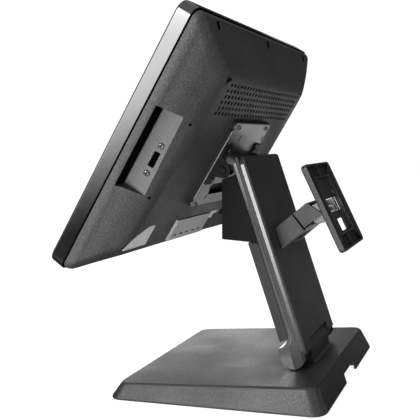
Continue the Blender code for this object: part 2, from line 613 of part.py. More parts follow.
def build_tray(frame):
    """The open-backed tray for a customer display, and the leaf with two round ears that carries it."""
    def ring(inset, depth):
        low, high = TRAY_LOW + inset, TRAY_HIGH - inset
        return along("Y", rectangle(-TRAY_HALF + inset, TRAY_HALF - inset, low, high, 5 * MM - inset), depth)

    rings = [ring(1.6 * MM, TRAY_FRONT), ring(0, TRAY_FRONT + 2 * MM), ring(0, TRAY_REAR)]
    tray = solid(frame, "display_tray", [rings], "satin")
    floor = TRAY_FRONT + 2 * MM
    middle = rectangle(-31.2 * MM, 31.2 * MM, -30 * MM, 36 * MM)
    sides = [rectangle(a, b, -30 * MM, 36 * MM) for a, b in mm((-46.8, -33), (33, 46.8))]
    ends = [
        rectangle(a, b, *ends)
        for a, b in mm((-46.8, 1.2), (3, 46.8))
        for ends in mm((-45.8, -31.8), (37.8, 50.3))
    ]
    windows = [rectangle(*x, *z) for x, z in (mm((-31, 15), (-5, 11)), mm((-18.5, 6), (-28, -13.7)))]
    screws = [circle(1.7 * MM, at, 12) for at in mm((-24, 17), (24, 17))]
    cut(
        tray,
        prisms(frame, "tray_pockets", "Y", [middle] + sides + ends, floor, 30 * MM),
        prisms(frame, "tray_windows", "Y", windows + screws, 0, 20 * MM),
    )
    face = TRAY_FRONT - GAP
    plate = rectangle(-31 * MM, 31 * MM, -10.5 * MM, 21.5 * MM, 3 * MM)
    leaf = prism(frame, "tray_hinge_leaf", "Y", plate, face - 1.6 * MM, face, "steel")
    ear = [(face - 0.4 * MM, 10.4 * MM)] + arc(EAR_RADIUS, 68, 292, 20) + [(face - 0.4 * MM, -10.4 * MM)]
    ears = [prism(frame, f"tray_ear_{side}", "X", ear, a * MM, b * MM) for side, a, b in
            (("left", -30.9, -28.2), ("right", 28.2, 30.9))]
    fuse(leaf, *ears)
    cut(
        leaf,
        prism(frame, "tray_ear_bore", "X", circle(2.3 * MM, steps=16), -40 * MM, 40 * MM),
        prism(frame, "tray_leaf_window", "Y", rectangle(-25 * MM, 25 * MM, -8 * MM, 12 * MM), 0, 20 * MM),
        prisms(frame, "tray_leaf_holes", "Y", screws, 0, 20 * MM),
    )
    for number, at in enumerate(mm((-24, 17), (24, 17)), 1):
        screw(frame, f"tray_screw_{number}", "Y", at, floor + GAP, 1, 2.6 * MM, 1.4 * MM, 4.2 * MM)


def clear_scene():
    for thing in list(bpy.data.objects):
        bpy.data.objects.remove(thing, do_unlink=True)


def main():
    clear_scene()
    world = Frame("stand_frame")
    arm = Frame("arm_hinge_frame", world, (0, HINGE_Y, HINGE_Z), (ARM_LEAN, 0, 0))
    head = Frame(
        "head_tilt_frame",
        arm,
        (0, TILT_Y, TILT_Z),
        (-HEAD_TILT - ARM_LEAN, 0, 0),
        datum=(0, -TILT_DEPTH, -TILT_UP),
    )
    button = Frame("power_button_frame", head, Vector((150 * MM, 8 * MM, 2.5 * MM)) + head.datum)
    bracket = Frame("bracket_frame", arm, (0, ARM_REAR + GAP, BRACKET_Z), (BRACKET_RISE, 0, 0))
    turn = TRAY_LEAN - ARM_LEAN - BRACKET_RISE
    tray = Frame("tray_hinge_frame", bracket, (0, *TRAY_AXIS), (turn, 0, 0))

    build_base(world)
    build_foot_hinge(world)
    build_arm_core(arm)
    build_arm_covers(arm)
    build_neck(arm)
    build_front(head)
    build_rear_cover(head)
    build_electronics(head)
    build_ports(head)
    build_plate(head)
    build_power_button(button)
    build_bracket(bracket)
    build_tray(tray)


main()
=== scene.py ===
"""The looks of a touchscreen checkout terminal on a folding stand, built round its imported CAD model.

Metres, +Z up, the screen towards -Y. Each piece is drawn in millimetres, in the frame of the part that it
belongs to, and is then placed by that frame.
"""

import math

import bmesh
import bpy
from mathutils import Matrix, Vector


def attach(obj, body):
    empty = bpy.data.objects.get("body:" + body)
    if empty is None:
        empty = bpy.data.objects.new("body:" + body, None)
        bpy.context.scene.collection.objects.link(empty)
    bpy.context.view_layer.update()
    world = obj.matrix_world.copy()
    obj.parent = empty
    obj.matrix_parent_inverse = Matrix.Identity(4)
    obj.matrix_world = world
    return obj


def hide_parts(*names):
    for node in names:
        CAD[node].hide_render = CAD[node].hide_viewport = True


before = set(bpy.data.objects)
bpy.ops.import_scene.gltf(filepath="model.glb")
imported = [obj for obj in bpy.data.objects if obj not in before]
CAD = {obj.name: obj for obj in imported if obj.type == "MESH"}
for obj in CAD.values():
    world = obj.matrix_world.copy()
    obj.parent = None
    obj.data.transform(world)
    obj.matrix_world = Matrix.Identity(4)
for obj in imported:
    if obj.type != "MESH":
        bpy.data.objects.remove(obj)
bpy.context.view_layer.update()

# --- frames ---------------------------------------------------------------------------------------


def shift(x, y, z):
    return Matrix.Translation((x, y, z))


def turn(degrees, axis="X"):
    return Matrix.Rotation(math.radians(degrees), 4, axis)


# The arm's hinge in the world, the head's hinge as (y, z) in the arm's frame and in the head's, the tray's
# hinge as (y, z) in the bracket's frame, the recess's inner corner in the head's, and each frame's turn.
HINGE_Y, HINGE_Z = 77.2, 41.4
TILT_ON_ARM, TILT_ON_HEAD = (-13.5, 213.7), (74.7, 152)
TRAY_AXIS = (52.8, -7)
RECESS_X, RECESS_Y = 158.6, 26.1
ARM_LEAN, HEAD_TURN, RECESS_TURN, BAR_TURN, TRAY_TURN = 14.45, -51.32, 18.4, 20.8, -13.75

WORLD = Matrix.Scale(0.001, 4)
ARM = shift(0, HINGE_Y / 1000, HINGE_Z / 1000) @ turn(ARM_LEAN) @ WORLD
HEAD = ARM @ shift(0, *TILT_ON_ARM) @ turn(HEAD_TURN) @ shift(0, -TILT_ON_HEAD[0], -TILT_ON_HEAD[1])
PORT = HEAD @ shift(RECESS_X, RECESS_Y, 0) @ turn(RECESS_TURN, "Z")
BUTTON = HEAD @ shift(150, 8, 2.5)
BAR = ARM @ shift(0, 16.1, 124.55) @ turn(BAR_TURN)
TRAY = BAR @ shift(0, *TRAY_AXIS) @ turn(TRAY_TURN)

ARM_HALF, ARM_BACK, LOBE = 63.7, 15.8, 14.2
HEAD_HALF, HEAD_HEIGHT, MIDDLE = 179.0, 295.0, 147.5
BASE_HALF, BASE_TOP_HALF, BASE_Y = 123.5, 112.6, 1.8
BASE_FRONT, BASE_SLOPE = 17.6, 0.0439
BRACKET_HALF = 34
WALL = 2.2
SHAFT_HOLE, SCREW_HOLE = 5.2, 1.7
COVER_SCREWS = [(-142, 288), (0, 288), (141, 288)]
PLATE_SCREWS = [(-44, 97.5), (44, 97.5), (-44, 199.4), (44, 199.4)]
LEAF_SCREWS = [(-41.5, 132.5), (-41.5, 171.5), (41.5, 132.5), (41.5, 171.5)]
SIDE_SCREWS = [(15.2, 132.0), (15.2, 163.4)]
TRAY_SCREWS = [(-24, 17), (24, 17)]
BASE_BOLTS = [(-22, HINGE_Y), (22, HINGE_Y)]
WHITE = (1, 1, 1, 1)

# Each frame with the body that its pieces ride on.
ON_BASE, ON_ARM, ON_HEAD, ON_BAR = (WORLD, "stand_base"), (ARM, "arm"), (HEAD, "head"), (BAR, "arm")
ON_PORT, ON_TRAY = (PORT, "head"), (TRAY, "display")

# --- outlines -------------------------------------------------------------------------------------


def rounded(corners, radius, steps=6):
    """The outline with its corners rounded. The radius is one value, or one for each corner."""
    radii = radius if isinstance(radius, (list, tuple)) else [radius] * len(corners)
    outline = []
    for i, corner in enumerate(corners):
        here = Vector(corner)
        if not radii[i]:
            outline.append(tuple(here))
            continue
        before = (Vector(corners[i - 1]) - here).normalized()
        after = (Vector(corners[(i + 1) % len(corners)]) - here).normalized()
        half = before.angle(after) / 2
        centre = here + (before + after).normalized() * radii[i] / math.sin(half)
        start = here + before * radii[i] / math.tan(half) - centre
        angle = math.pi - 2 * half
        if before.x * after.y - before.y * after.x > 0:
            angle = -angle
        for k in range(steps + 1):
            outline.append(tuple(centre + Matrix.Rotation(angle * k / steps, 2) @ start))
    return outline


def rect(x0, x1, y0, y1, radius=0.0, steps=6):
    return rounded([(x0, y0), (x1, y0), (x1, y1), (x0, y1)], radius, steps)


def arc(radius, start, end, steps, centre=(0.0, 0.0)):
    angles = [math.radians(start + (end - start) * k / steps) for k in range(steps + 1)]
    return [(centre[0] + radius * math.cos(a), centre[1] + radius * math.sin(a)) for a in angles]


def disc(radius, centre=(0.0, 0.0), steps=32):
    return arc(radius, 0, 360 * (steps - 1) / steps, steps - 1, centre)


def screw_holes(places):
    return [disc(SCREW_HOLE, at, 20) for at in places]


def slot(width, height, centre):
    x, y = centre
    reach = (height - width) / 2
    return arc(width / 2, 180, 360, 8, (x, y - reach)) + arc(width / 2, 0, 180, 8, (x, y + reach))


def cross(reach, half, centre=(0, 0)):
    quarter = [(reach, -half), (reach, half), (half, half)]
    turned = [Matrix.Rotation(math.pi / 2 * k, 2) @ Vector(p) for k in range(4) for p in quarter]
    return [(centre[0] + p.x, centre[1] + p.y) for p in turned]


def along(axis, outline, distance):
    if axis == "X":
        return [(distance, a, b) for a, b in outline]
    if axis == "Y":
        return [(a, distance, b) for a, b in outline]
    return [(a, b, distance) for a, b in outline]


def spline(rows, per):
    """Rows of numbers with smooth steps added between them."""
    out = []
    for i in range(len(rows) - 1):
        a, b, c, d = (rows[max(0, min(len(rows) - 1, i + k))] for k in (-1, 0, 1, 2))
        for k in range(per):
            t = k / per
            out.append(tuple(
                0.5 * (2 * q + (r - p) * t + (2 * p - 5 * q + 4 * r - s) * t * t
                       + (3 * q - p - 3 * r + s) * t * t * t)
                for p, q, r, s in zip(a, b, c, d)))
    return out + [tuple(rows[-1])]


# --- solids ---------------------------------------------------------------------------------------


def new_object(name, data):
    made = bpy.data.objects.new(name, data)
    bpy.context.scene.collection.objects.link(made)
    return made


def body_of(*stacks):
    """An object made of closed stacks of rings, each ring with as many points as the one before it."""
    bm = bmesh.new()
    for rings in stacks:
        loops = [[bm.verts.new(point) for point in ring] for ring in rings]
        for low, high in zip(loops, loops[1:]):
            for i in range(len(low)):
                j = (i + 1) % len(low)
                bm.faces.new((low[i], low[j], high[j], high[i]))
        bm.faces.new(loops[0][::-1])
        bm.faces.new(loops[-1])
    bmesh.ops.recalc_face_normals(bm, faces=bm.faces)
    mesh = bpy.data.meshes.new("raw")
    bm.to_mesh(mesh)
    bm.free()
    return new_object("raw", mesh)


def prism(axis, outlines, low, high):
    """One prism, or several in one object, between two distances along an axis."""
    if isinstance(outlines[0][0], (int, float)):
        outlines = [outlines]
    return body_of(*[[along(axis, o, low), along(axis, o, high)] for o in outlines])


def box(x, y, z):
    return prism("X", rect(*y, *z), *x)


def lathe(axis, centre, profile, steps=40):
    """A turned solid: profile is (radius, distance along the axis)."""
    return body_of([along(axis, disc(r, centre, steps), t) for r, t in profile])


def merge(first, others, operation):
    for other in others:
        modifier = first.modifiers.new("merge", "BOOLEAN")
        modifier.operation = operation
        modifier.solver = "EXACT"
        modifier.object = other
    graph = bpy.context.evaluated_depsgraph_get()
    mesh = bpy.data.meshes.new_from_object(first.evaluated_get(graph))
    first.modifiers.clear()
    first.data = mesh
    for other in others:
        bpy.data.objects.remove(other, do_unlink=True)
    return first


def cut(first, *others):
    return merge(first, others, "DIFFERENCE")


def fuse(first, *others):
    return merge(first, others, "UNION")


def placed(made, name, place, material, bevel=0.35, angle=35, replaces=(), segments=3,
           harden=False):
    """Names a drawn solid, places it, rounds its edges, and ties it to its body and its CAD nodes."""
    matrix, body = place
    made.name = made.data.name = name
    made.data.transform(matrix)
    made.data.shade_smooth()
    made.data.set_sharp_from_angle(angle=math.radians(angle))
    made.data.materials.clear()
    made.data.materials.append(material)
    if bevel:
        modifier = made.modifiers.new("edges", "BEVEL")
        modifier.width = bevel * 0.001
        modifier.segments = segments
        modifier.limit_method = "ANGLE"
        modifier.angle_limit = math.radians(angle)
        modifier.use_clamp_overlap = False
        modifier.miter_outer = "MITER_ARC"
        modifier.harden_normals = harden
        if not harden:
            normals = made.modifiers.new("normals", "WEIGHTED_NORMAL")
            normals.keep_sharp = False
    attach(made, body)
    if replaces:
        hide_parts(*([replaces] if isinstance(replaces, str) else replaces))
    return made


def second_look(made, faces, material):
    """Gives some faces of a placed piece another material."""
    made.data.materials.append(material)
    for index in faces:
        made.data.polygons[index].material_index = len(made.data.materials) - 1


# --- materials ------------------------------------------------------------------------------------


def add_node(nodes, kind, **settings):
    """A new node, with each setting given to its socket or, where it has none of that name, to itself."""
    node = nodes.new(kind)
    for key, value in settings.items():
        if key in node.inputs:
            node.inputs[key].default_value = value
        else:
            setattr(node, key, value)
    return node


def set_range(node, low, high, first, last):
    for key, number in (("From Min", low), ("From Max", high), ("To Min", first), ("To Max", last)):
        node.inputs[key].default_value = number


class Graph:
    """A material's nodes, made and joined in short calls."""

    def __init__(self, name):
        self.material = bpy.data.materials.new(name)
        self.material.use_nodes = True
        self.nodes = self.material.node_tree.nodes
        self.links = self.material.node_tree.links
        self.shader = self.nodes["Principled BSDF"]
        self.place = self.add("ShaderNodeTexCoord").outputs["Object"]

    def add(self, kind, **settings):
        return add_node(self.nodes, kind, **settings)

    def shade(self, output, name):
        self.links.new(output, self.shader.inputs[name])

    def level(self, name, value):
        self.shader.inputs[name].default_value = value

    def join(self, output, node, name):
        self.links.new(output, node.inputs[name])
        return node

    def noise(self, scale, detail=2.0, rough=0.5):
        node = self.add("ShaderNodeTexNoise", Scale=scale, Detail=detail, Roughness=rough)
        return self.join(self.place, node, "Vector").outputs["Fac"]

    def ramp(self, value, low, high, first, last):
        """A value from low to high, mapped to a number from first to last."""
        node = self.add("ShaderNodeMapRange")
        set_range(node, low, high, first, last)
        return self.join(value, node, "Value").outputs["Result"]

    def mix(self, factor, first, last):
        node = self.add("ShaderNodeMix", data_type="RGBA")
        node.inputs[6].default_value = (*first, 1)
        node.inputs[7].default_value = (*last, 1)
        self.links.new(factor, node.inputs[0])
        return node.outputs[2]

    def bump(self, height, strength, distance, under=None):
        node = self.add("ShaderNodeBump", Strength=strength, Distance=distance)
        self.join(height, node, "Height")
        if under:
            self.links.new(under, node.inputs["Normal"])
        return node.outputs["Normal"]

    def wear(self, radius):
        """1 on sharp edges and 0 on flat faces."""
        bevel = self.add("ShaderNodeBevel", samples=4)
        bevel.inputs["Radius"].default_value = radius
        dot = self.add("ShaderNodeVectorMath", operation="DOT_PRODUCT")
        self.links.new(bevel.outputs["Normal"], dot.inputs[0])
        self.links.new(self.add("ShaderNodeNewGeometry").outputs["Normal"], dot.inputs[1])
        return self.ramp(dot.outputs["Value"], 0.995, 0.93, 0.0, 1.0)


def plastic(name, colour, roughness, grain, depth, mottle=0.3, spread=0.06, coat=0.0, specular=0.5):
    """Moulded plastic: a fine grain, slow changes of tone and of gloss, and paler edges."""
    g = Graph(name)
    fine = g.noise(grain, 2, 0.65)
    slow = g.noise(14, 4)
    speck = g.noise(grain * 2.3, 1)
    low = tuple(c * (1 - mottle) for c in colour)
    high = tuple(min(1, c * (1 + mottle * 2)) for c in colour)
    tone = g.add("ShaderNodeMath", operation="MULTIPLY_ADD")
    g.links.new(g.ramp(fine, 0.36, 0.66, 0, 1), tone.inputs[0])
    tone.inputs[1].default_value = 0.8
    g.links.new(g.ramp(slow, 0.3, 0.7, 0.0, 0.2), tone.inputs[2])
    worn = g.add("ShaderNodeMix", data_type="RGBA")
    worn.inputs[7].default_value = (*[min(1, c * 2.2 + 0.01) for c in colour], 1)
    g.links.new(g.ramp(g.wear(0.0007), 0, 1, 0, 0.5), worn.inputs[0])
    g.links.new(g.mix(tone.outputs[0], low, high), worn.inputs[6])
    g.shade(worn.outputs[2], "Base Color")
    gloss = g.add("ShaderNodeMath", operation="ADD")
    g.links.new(g.ramp(slow, 0.3, 0.7, roughness - spread, roughness + spread), gloss.inputs[0])
    g.links.new(g.ramp(fine, 0.35, 0.7, spread * 0.8, -spread * 0.8), gloss.inputs[1])
    g.shade(gloss.outputs[0], "Roughness")
    under = g.bump(speck, 0.3, depth * 0.5)
    g.shade(g.bump(fine, 0.8, depth, under), "Normal")
    g.level("Specular IOR Level", specular)
    if coat:
        g.level("Coat Weight", coat)
        g.level("Coat Roughness", 0.06)
    return g.material


def metal(name, colour, roughness, metallic=1.0, brushed=(1, 1, 1), scale=900.0, depth=0.00002, mottle=0.1):
    """Metal with a drawn or blasted surface: fine changes of tone and slow ones of gloss."""
    g = Graph(name)
    mapping = g.add("ShaderNodeMapping")
    mapping.inputs["Scale"].default_value = brushed
    place = g.join(g.place, mapping, "Vector").outputs["Vector"]
    line = g.add("ShaderNodeTexNoise", Scale=scale, Detail=3.0, Roughness=0.6)
    g.join(place, line, "Vector")
    slow = g.noise(22, 3)
    low = tuple(c * (1 - mottle) for c in colour)
    high = tuple(min(1, c * (1 + mottle)) for c in colour)
    g.shade(g.mix(g.ramp(line.outputs["Fac"], 0.3, 0.7, 0, 1), low, high), "Base Color")
    g.shade(g.ramp(slow, 0.3, 0.7, roughness * 0.92, roughness * 1.1), "Roughness")
    g.shade(g.bump(line.outputs["Fac"], 0.5, depth), "Normal")
    g.level("Metallic", metallic)
    return g.material


def glass_face(name, colour, roughness, rows):
    """The screen's face: near black with faint fine stripes under a clear hard layer."""
    g = Graph(name)
    wave = g.add("ShaderNodeTexWave", Scale=rows, Distortion=0.0)
    wave.bands_direction = "X"
    g.join(g.place, wave, "Vector")
    smear = g.noise(9, 5)
    high = tuple(c * 1.25 for c in colour)
    g.shade(g.mix(wave.outputs["Fac"], colour, high), "Base Color")
    g.shade(g.ramp(smear, 0.35, 0.75, roughness, roughness + 0.07), "Roughness")
    g.level("Coat Weight", 0.6)
    g.level("Coat Roughness", 0.03)
    return g.material


def paper(name):
    """A printed label: a pale face with plain grey rules and blocks, and no lettering."""
    g = Graph(name)
    brick = g.add("ShaderNodeTexBrick", Scale=190.0)
    brick.inputs["Color1"].default_value = (0.95, 0.95, 0.94, 1)
    brick.inputs["Color2"].default_value = (0.8, 0.8, 0.79, 1)
    brick.inputs["Mortar"].default_value = (0.4, 0.4, 0.395, 1)
    brick.inputs["Mortar Size"].default_value = 0.03
    g.join(g.place, brick, "Vector")
    g.shade(brick.outputs["Color"], "Base Color")
    g.shade(g.ramp(g.noise(60, 3), 0.3, 0.7, 0.35, 0.55), "Roughness")
    g.shade(g.bump(g.noise(1500, 2), 0.2, 0.00001), "Normal")
    return g.material


M_BEZEL = plastic("gloss_black_plastic", (0.009, 0.009, 0.0095), 0.12, 260, 0.000003, 0.1, 0.03, 0.9, 1.0)
M_COVER = plastic("grained_black_plastic", (0.034, 0.034, 0.035), 0.46, 1050, 0.0006, 0.9, 0.14,
                  specular=0.6)
# Painted light: the recess floor's plastic is the cover's, lighter in colour for the light it catches, and
# glossier.
M_RECESS_LIT = plastic("recess_plastic_painted_light", (0.06, 0.06, 0.061), 0.34, 1050, 0.0002, 0.5, 0.1, specular=0.7)
M_SATIN = plastic("satin_black_plastic", (0.026, 0.026, 0.027), 0.4, 1100, 0.0002, 0.6, 0.08)
# Painted shade: the neck housing's plastic is near black and dull, darkened for the head's shadow on it.
M_NECK_SHADED = plastic("neck_black_plastic_painted_shade", (0.004, 0.004, 0.0042), 0.6, 1300, 0.00012, 0.4, 0.05, specular=0.1)
M_BASE = plastic("base_black_coat", (0.017, 0.017, 0.0175), 0.36, 950, 0.00028, 0.7, 0.09, specular=0.45)
M_ARM = metal("arm_grey_coat", (0.27, 0.27, 0.275), 0.17, 0.95, (1, 1, 1), 900, 0.000004, 0.25)
M_PLATE = metal("plate_grey_coat", (0.34, 0.34, 0.345), 0.34, 0.8, (0.3, 1, 1), 1100, 0.00002, 0.3)
# Painted shade: the plate's folded edges are a dark, dull copy of its grey metal, for the shade on them.
M_PLATE_EDGE_SHADE = metal("plate_edge_painted_shade", (0.012, 0.012, 0.0125), 0.5, 0.1, (1, 1, 1), 1100, 0.00002, 0.3)
# Black steel, darkened further as painted shade for the shadow that the plate and head cast on the hinge.
M_HINGE_SHADED = metal("black_steel_painted_shade", (0.008, 0.008, 0.0085), 0.5, 0.4, (0.05, 1, 1), 1400, 0.00001, 0.25)
M_TRIM = metal("drawn_aluminium", (0.38, 0.38, 0.39), 0.24, 1, (1, 1, 0.02), 1800, 0.000002, 0.08)
M_STEEL = metal("brushed_steel", (0.2, 0.2, 0.205), 0.3, 1, (0.05, 1, 1), 1400, 0.00001, 0.14)
M_SHEET = metal("zinc_sheet", (0.5, 0.5, 0.51), 0.38, 1, (1, 1, 1), 260, 0.00001, 0.16)
M_CHROME = metal("bright_nickel", (0.78, 0.78, 0.79), 0.13, 1, (1, 1, 1), 700, 0.000004, 0.06)
# Painted shade: a black with almost no reflection, for openings, recesses and rims where shade falls.
M_PAINTED_SHADE = plastic("unlit_black", (0.0015, 0.0015, 0.0015), 0.85, 900, 0.00002, 0.3, 0.05, specular=0.02)
# Painted shade: the arm's front cover is a darker, duller copy of the satin black, for shade it gets.
M_FRONT_SHADED = plastic("arm_front_black_painted_shade", (0.013, 0.013, 0.0135), 0.42, 1100, 0.0002, 0.6, 0.08, specular=0.35)
M_PANEL = plastic("panel_grey_paint", (0.42, 0.42, 0.425), 0.42, 900, 0.00004, 0.12, 0.06)
M_RUBBER = plastic("foot_rubber", (0.014, 0.014, 0.014), 0.8, 700, 0.00015, 0.25, 0.08)
M_BOARD = plastic("board_green", (0.012, 0.075, 0.035), 0.4, 420, 0.0001, 0.35, 0.1)
M_DARK = plastic("socket_black", (0.01, 0.01, 0.01), 0.45, 900, 0.00005, 0.2, 0.08)
M_SCREW = metal("zinc_screw", (0.2, 0.2, 0.205), 0.34, 1, (1, 1, 1), 900, 0.000004, 0.15)
M_GOLD = metal("contact_gold", (0.75, 0.55, 0.22), 0.25, 1, (1, 1, 1), 900, 0.000004, 0.08)
M_GLASS = glass_face("glass_border", (0.006, 0.006, 0.007), 0.05, 200.0)
M_VIEW = glass_face("screen_view", (0.016, 0.017, 0.02), 0.08, 1000.0)
M_LABEL = paper("label_face")


# --- the base -------------------------------------------------------------------------------------


def base_top(y):
    return BASE_FRONT + BASE_SLOPE * (y - BASE_Y + BASE_TOP_HALF)


def base_ring(half, radius, drop=None, z=None):
    outline = rect(-half, half, BASE_Y - half, BASE_Y + half, radius, 9)
    return [(x, y, z if drop is None else base_top(y) - drop) for x, y in outline]


def build_base():
    outer = [base_ring(BASE_HALF - 0.9, 14.1, z=1.2), base_ring(BASE_HALF - 0.25, 14.8, z=1.5)]
    outer += [base_ring(BASE_HALF, 15, z=2.1), base_ring(BASE_HALF, 15, z=3.1)]
    outer += [base_ring(BASE_HALF - 0.35, 14.9, z=3.9)]
    for inset, drop in ((2.3, 2.0), (1.7, 1.55), (1.25, 1.05), (0.8, 0.5), (0.4, 0.15), (0, 0)):
        outer.append(base_ring(BASE_TOP_HALF + inset, 10.5 + inset * 0.9, drop=drop))
    shell = body_of(outer)
    inner = [base_ring(BASE_HALF - 3, 12, z=-5), base_ring(BASE_HALF - 3, 12, z=5.2)]
    inner.append(base_ring(BASE_TOP_HALF - 3, 9, drop=3))
    rear = BASE_Y + BASE_HALF
    notch = rounded([(-26.5, -2), (26.5, -2), (22, 11), (-22, 11)], [0, 0, 1.6, 1.6])
    cut(shell, body_of(inner), prism("Y", notch, rear - 24, rear + 5))
    cut(shell, prism("Z", [disc(2.8, at, 24) for at in BASE_BOLTS], 5, 40))
    placed(shell, "base_casting", ON_BASE, M_BASE, 0.3, replaces="base_shell")

    ribs = [[along("X", rect(-105, 45, 6, 15.5), x + side) for side in (-1, 1)] for x in (-70, 0, 70)]
    placed(body_of(*ribs), "base_ribs", ON_BASE, M_BASE, 0)

    for number, (x, y) in enumerate([(x, BASE_Y + y) for x in (-103, 103) for y in (-103, 103)], 1):
        foot = lathe("Z", (x, y), [(6.4, 0.35), (7.0, 0.02), (8.0, 0.0), (8.6, 0.25), (9, 0.8), (9, 1.5)])
        placed(foot, f"rubber_pad_{number}", ON_BASE, M_RUBBER, 0,
               replaces=f"rubber_foot_{number}")


def build_foot():
    """The knuckle that the arm folds on, flared where it meets the base, and its shaft."""
    centre, low = (HINGE_Y, HINGE_Z), base_top(HINGE_Y) + 0.3
    outline = arc(14.8, -4, 184, 40, centre)
    flare = [(-14.8, 6.5), (-14.9, 4.2), (-15.3, 2.2), (-16.2, 0.9), (-17.6, 0.25), (-18.4, -0.02)]
    outline += [(HINGE_Y + y, low + z + BASE_SLOPE * y) for y, z in flare]
    outline += [(HINGE_Y - y, low + z - BASE_SLOPE * y) for y, z in reversed(flare)]
    knuckle = prism("X", outline, -35.2, 35.2)
    cut(knuckle, prism("X", disc(SHAFT_HOLE, centre), -50, 50))
    placed(knuckle, "foot_knuckle", ON_BASE, M_SATIN, 0.6,
           replaces="hinge_knuckle")
    profile = [(3.2, -59), (4.2, -58.4), (4.9, -57.6), (4.9, -55), (4.3, -54.8), (4.3, -53.8), (4.9, -53.6)]
    profile += [(r, -t) for r, t in reversed(profile)]
    placed(lathe("X", centre, profile), "foot_shaft", ON_BASE, M_CHROME, 0,
           replaces="hinge_shaft")


# --- the arm --------------------------------------------------------------------------------------


def curve(points):
    return spline([tuple(map(float, p)) for p in points], 4)


def build_arm():
    seam = [(3.3, 30), (3.2, 26.5), (2.8, 23), (1.9, 20.4), (0.6, 18.3), (-1.2, 16.0), (-3.2, 13.8)]
    seam.append((-5.6, 12.2))
    back = [(-0.5, 11.0), (0.9, 12.3), (2.6, 14.0), (4.3, 16.2), (5.7, 19.0), (6.6, 22.6), (7.0, 27)]
    back.append((7.1, 32))
    outline = [(3.3, 216)] + curve(seam) + [(-8.5, 11.7), (-11.9, 11.4)]
    outline += arc(LOBE, 148, 268, 30) + curve(back) + [(7.1, 216)]
    core = prism("X", outline, -ARM_HALF, ARM_HALF)
    web = [(12.8, 26), (12.8, 4)] + arc(13.2, 15, -100, 20) + [(-2.6, 4), (2.5, 13.5), (5, 26)]
    fuse(core, prism("X", web, -60.3, 60.3))
    windows = [rect(-40, 40, 44, 112, 8), rect(-40, 40, 138, 196, 8)]
    cut(core, box((-36.6, 36.6), (-30, 30), (-30, 17.5)), prism("X", disc(SHAFT_HOLE), -59.7, 59.7),
        prism("Y", windows, -20, 30))
    placed(core, "arm_frame", ON_ARM, M_ARM, 0.35, replaces="arm_core")

    front = [(2.9, 125.9), (-8.2, 130.0), (-8.2, 17.7), (-2.6, 18.3)]
    front += curve([(0.1, 18.7), (1.6, 20.8), (2.45, 23.4), (2.8, 27), (2.9, 31)])
    cover = prism("X", front, -ARM_HALF, ARM_HALF)
    cut(cover, prism("X", [(6, 122), (-6, 126), (-6, 20.5), (6, 20.5)], -61.5, 61.5))
    placed(cover, "arm_front_shell", ON_ARM, M_FRONT_SHADED, 0.6, replaces="arm_front_cover")

    # The rear cover's edge runs from its side over a small step and a chamfer to the rear face.
    section = [(10.7, 63.7), (10.9, 62.6), (14.3, 60.0), (14.4, 59.6), (15.0, 59.4), (ARM_BACK, 58.9)]
    low_edge = [(-0.1, 11.2), (-0.1, -LOBE)]
    for k in range(25):
        degrees = -88 + 84 * k / 24
        reach = LOBE + 1.66 * ((degrees + 90) / 85) ** 3
        low_edge.append((reach * math.cos(math.radians(degrees)), reach * math.sin(math.radians(degrees))))
    side = low_edge + [(ARM_BACK, -0.4), (ARM_BACK, 218.6), (15.4, 220.0), (13.2, 221.2)]
    side += [(7.5, 221.2), (7.5, 32)]
    side += [(a + 0.4, b + 0.25) for a, b in reversed(curve(back)[:-1])]
    cover = prism("X", side, -ARM_HALF, ARM_HALF)
    inner = 60.7
    cutters = [
        box((-58.5, 58.5), (-20, 13.6), (-20, 218.5)),
        box((-inner, inner), (-20, 9.6), (-20, 218.5)),
        box((-35.8, 35.8), (0, 20), (-20, 9.8)),
        box((-inner, inner), (-20, 20), (-30, -1.2)),
    ]
    for sign in (-1, 1):
        edge = [(sign * x, y) for y, x in section]
        edge += [(sign * 70, ARM_BACK + 4), (sign * 70, 10.7)]
        cutters.append(body_of([[(x, y, z) for x, y in edge] for z in (-30, 240)]))
        groove = [(sign * 63.35, 8.9), (sign * 70, 8.9), (sign * 70, 9.4), (sign * 63.35, 9.4)]
        cutters.append(body_of([[(x, y, z) for x, y in groove] for z in (22, 240)]))
        corner = [(sign * 70, 230), (sign * 70, 208), (sign * ARM_HALF, 208)]
        corner += [(sign * x, z) for x, z in arc(14, 0, 90, 14, (49.0, 208.2))] + [(sign * 46, 230)]
        cutters.append(prism("Y", corner, 10.8, 30))
    for cutter in cutters:
        cut(cover, cutter)
    painted = [face.index for face in cover.data.polygons
               if abs(face.normal.x) > 0.9 and abs(face.center.x) > 63 and 7.4 < face.center.y < 10.75]
    placed(cover, "arm_rear_shell", ON_ARM, M_SATIN, 0.25, replaces="arm_rear_cover")
    second_look(cover, painted, M_ARM)

    for side_name, sign in (("left", -1), ("right", 1)):
        strip = [(sign * 62.75, 10.85), (sign * 63.45, 11.2), (sign * 60.6, 14.2), (sign * 59.9, 14.0)]
        trim = body_of([[(x, y, z) for x, y in strip] for z in (2.0, 212.0)])
        placed(trim, f"arm_bright_strip_{side_name}", ON_ARM, M_TRIM, 0.2,
               replaces=f"arm_trim_{side_name}")


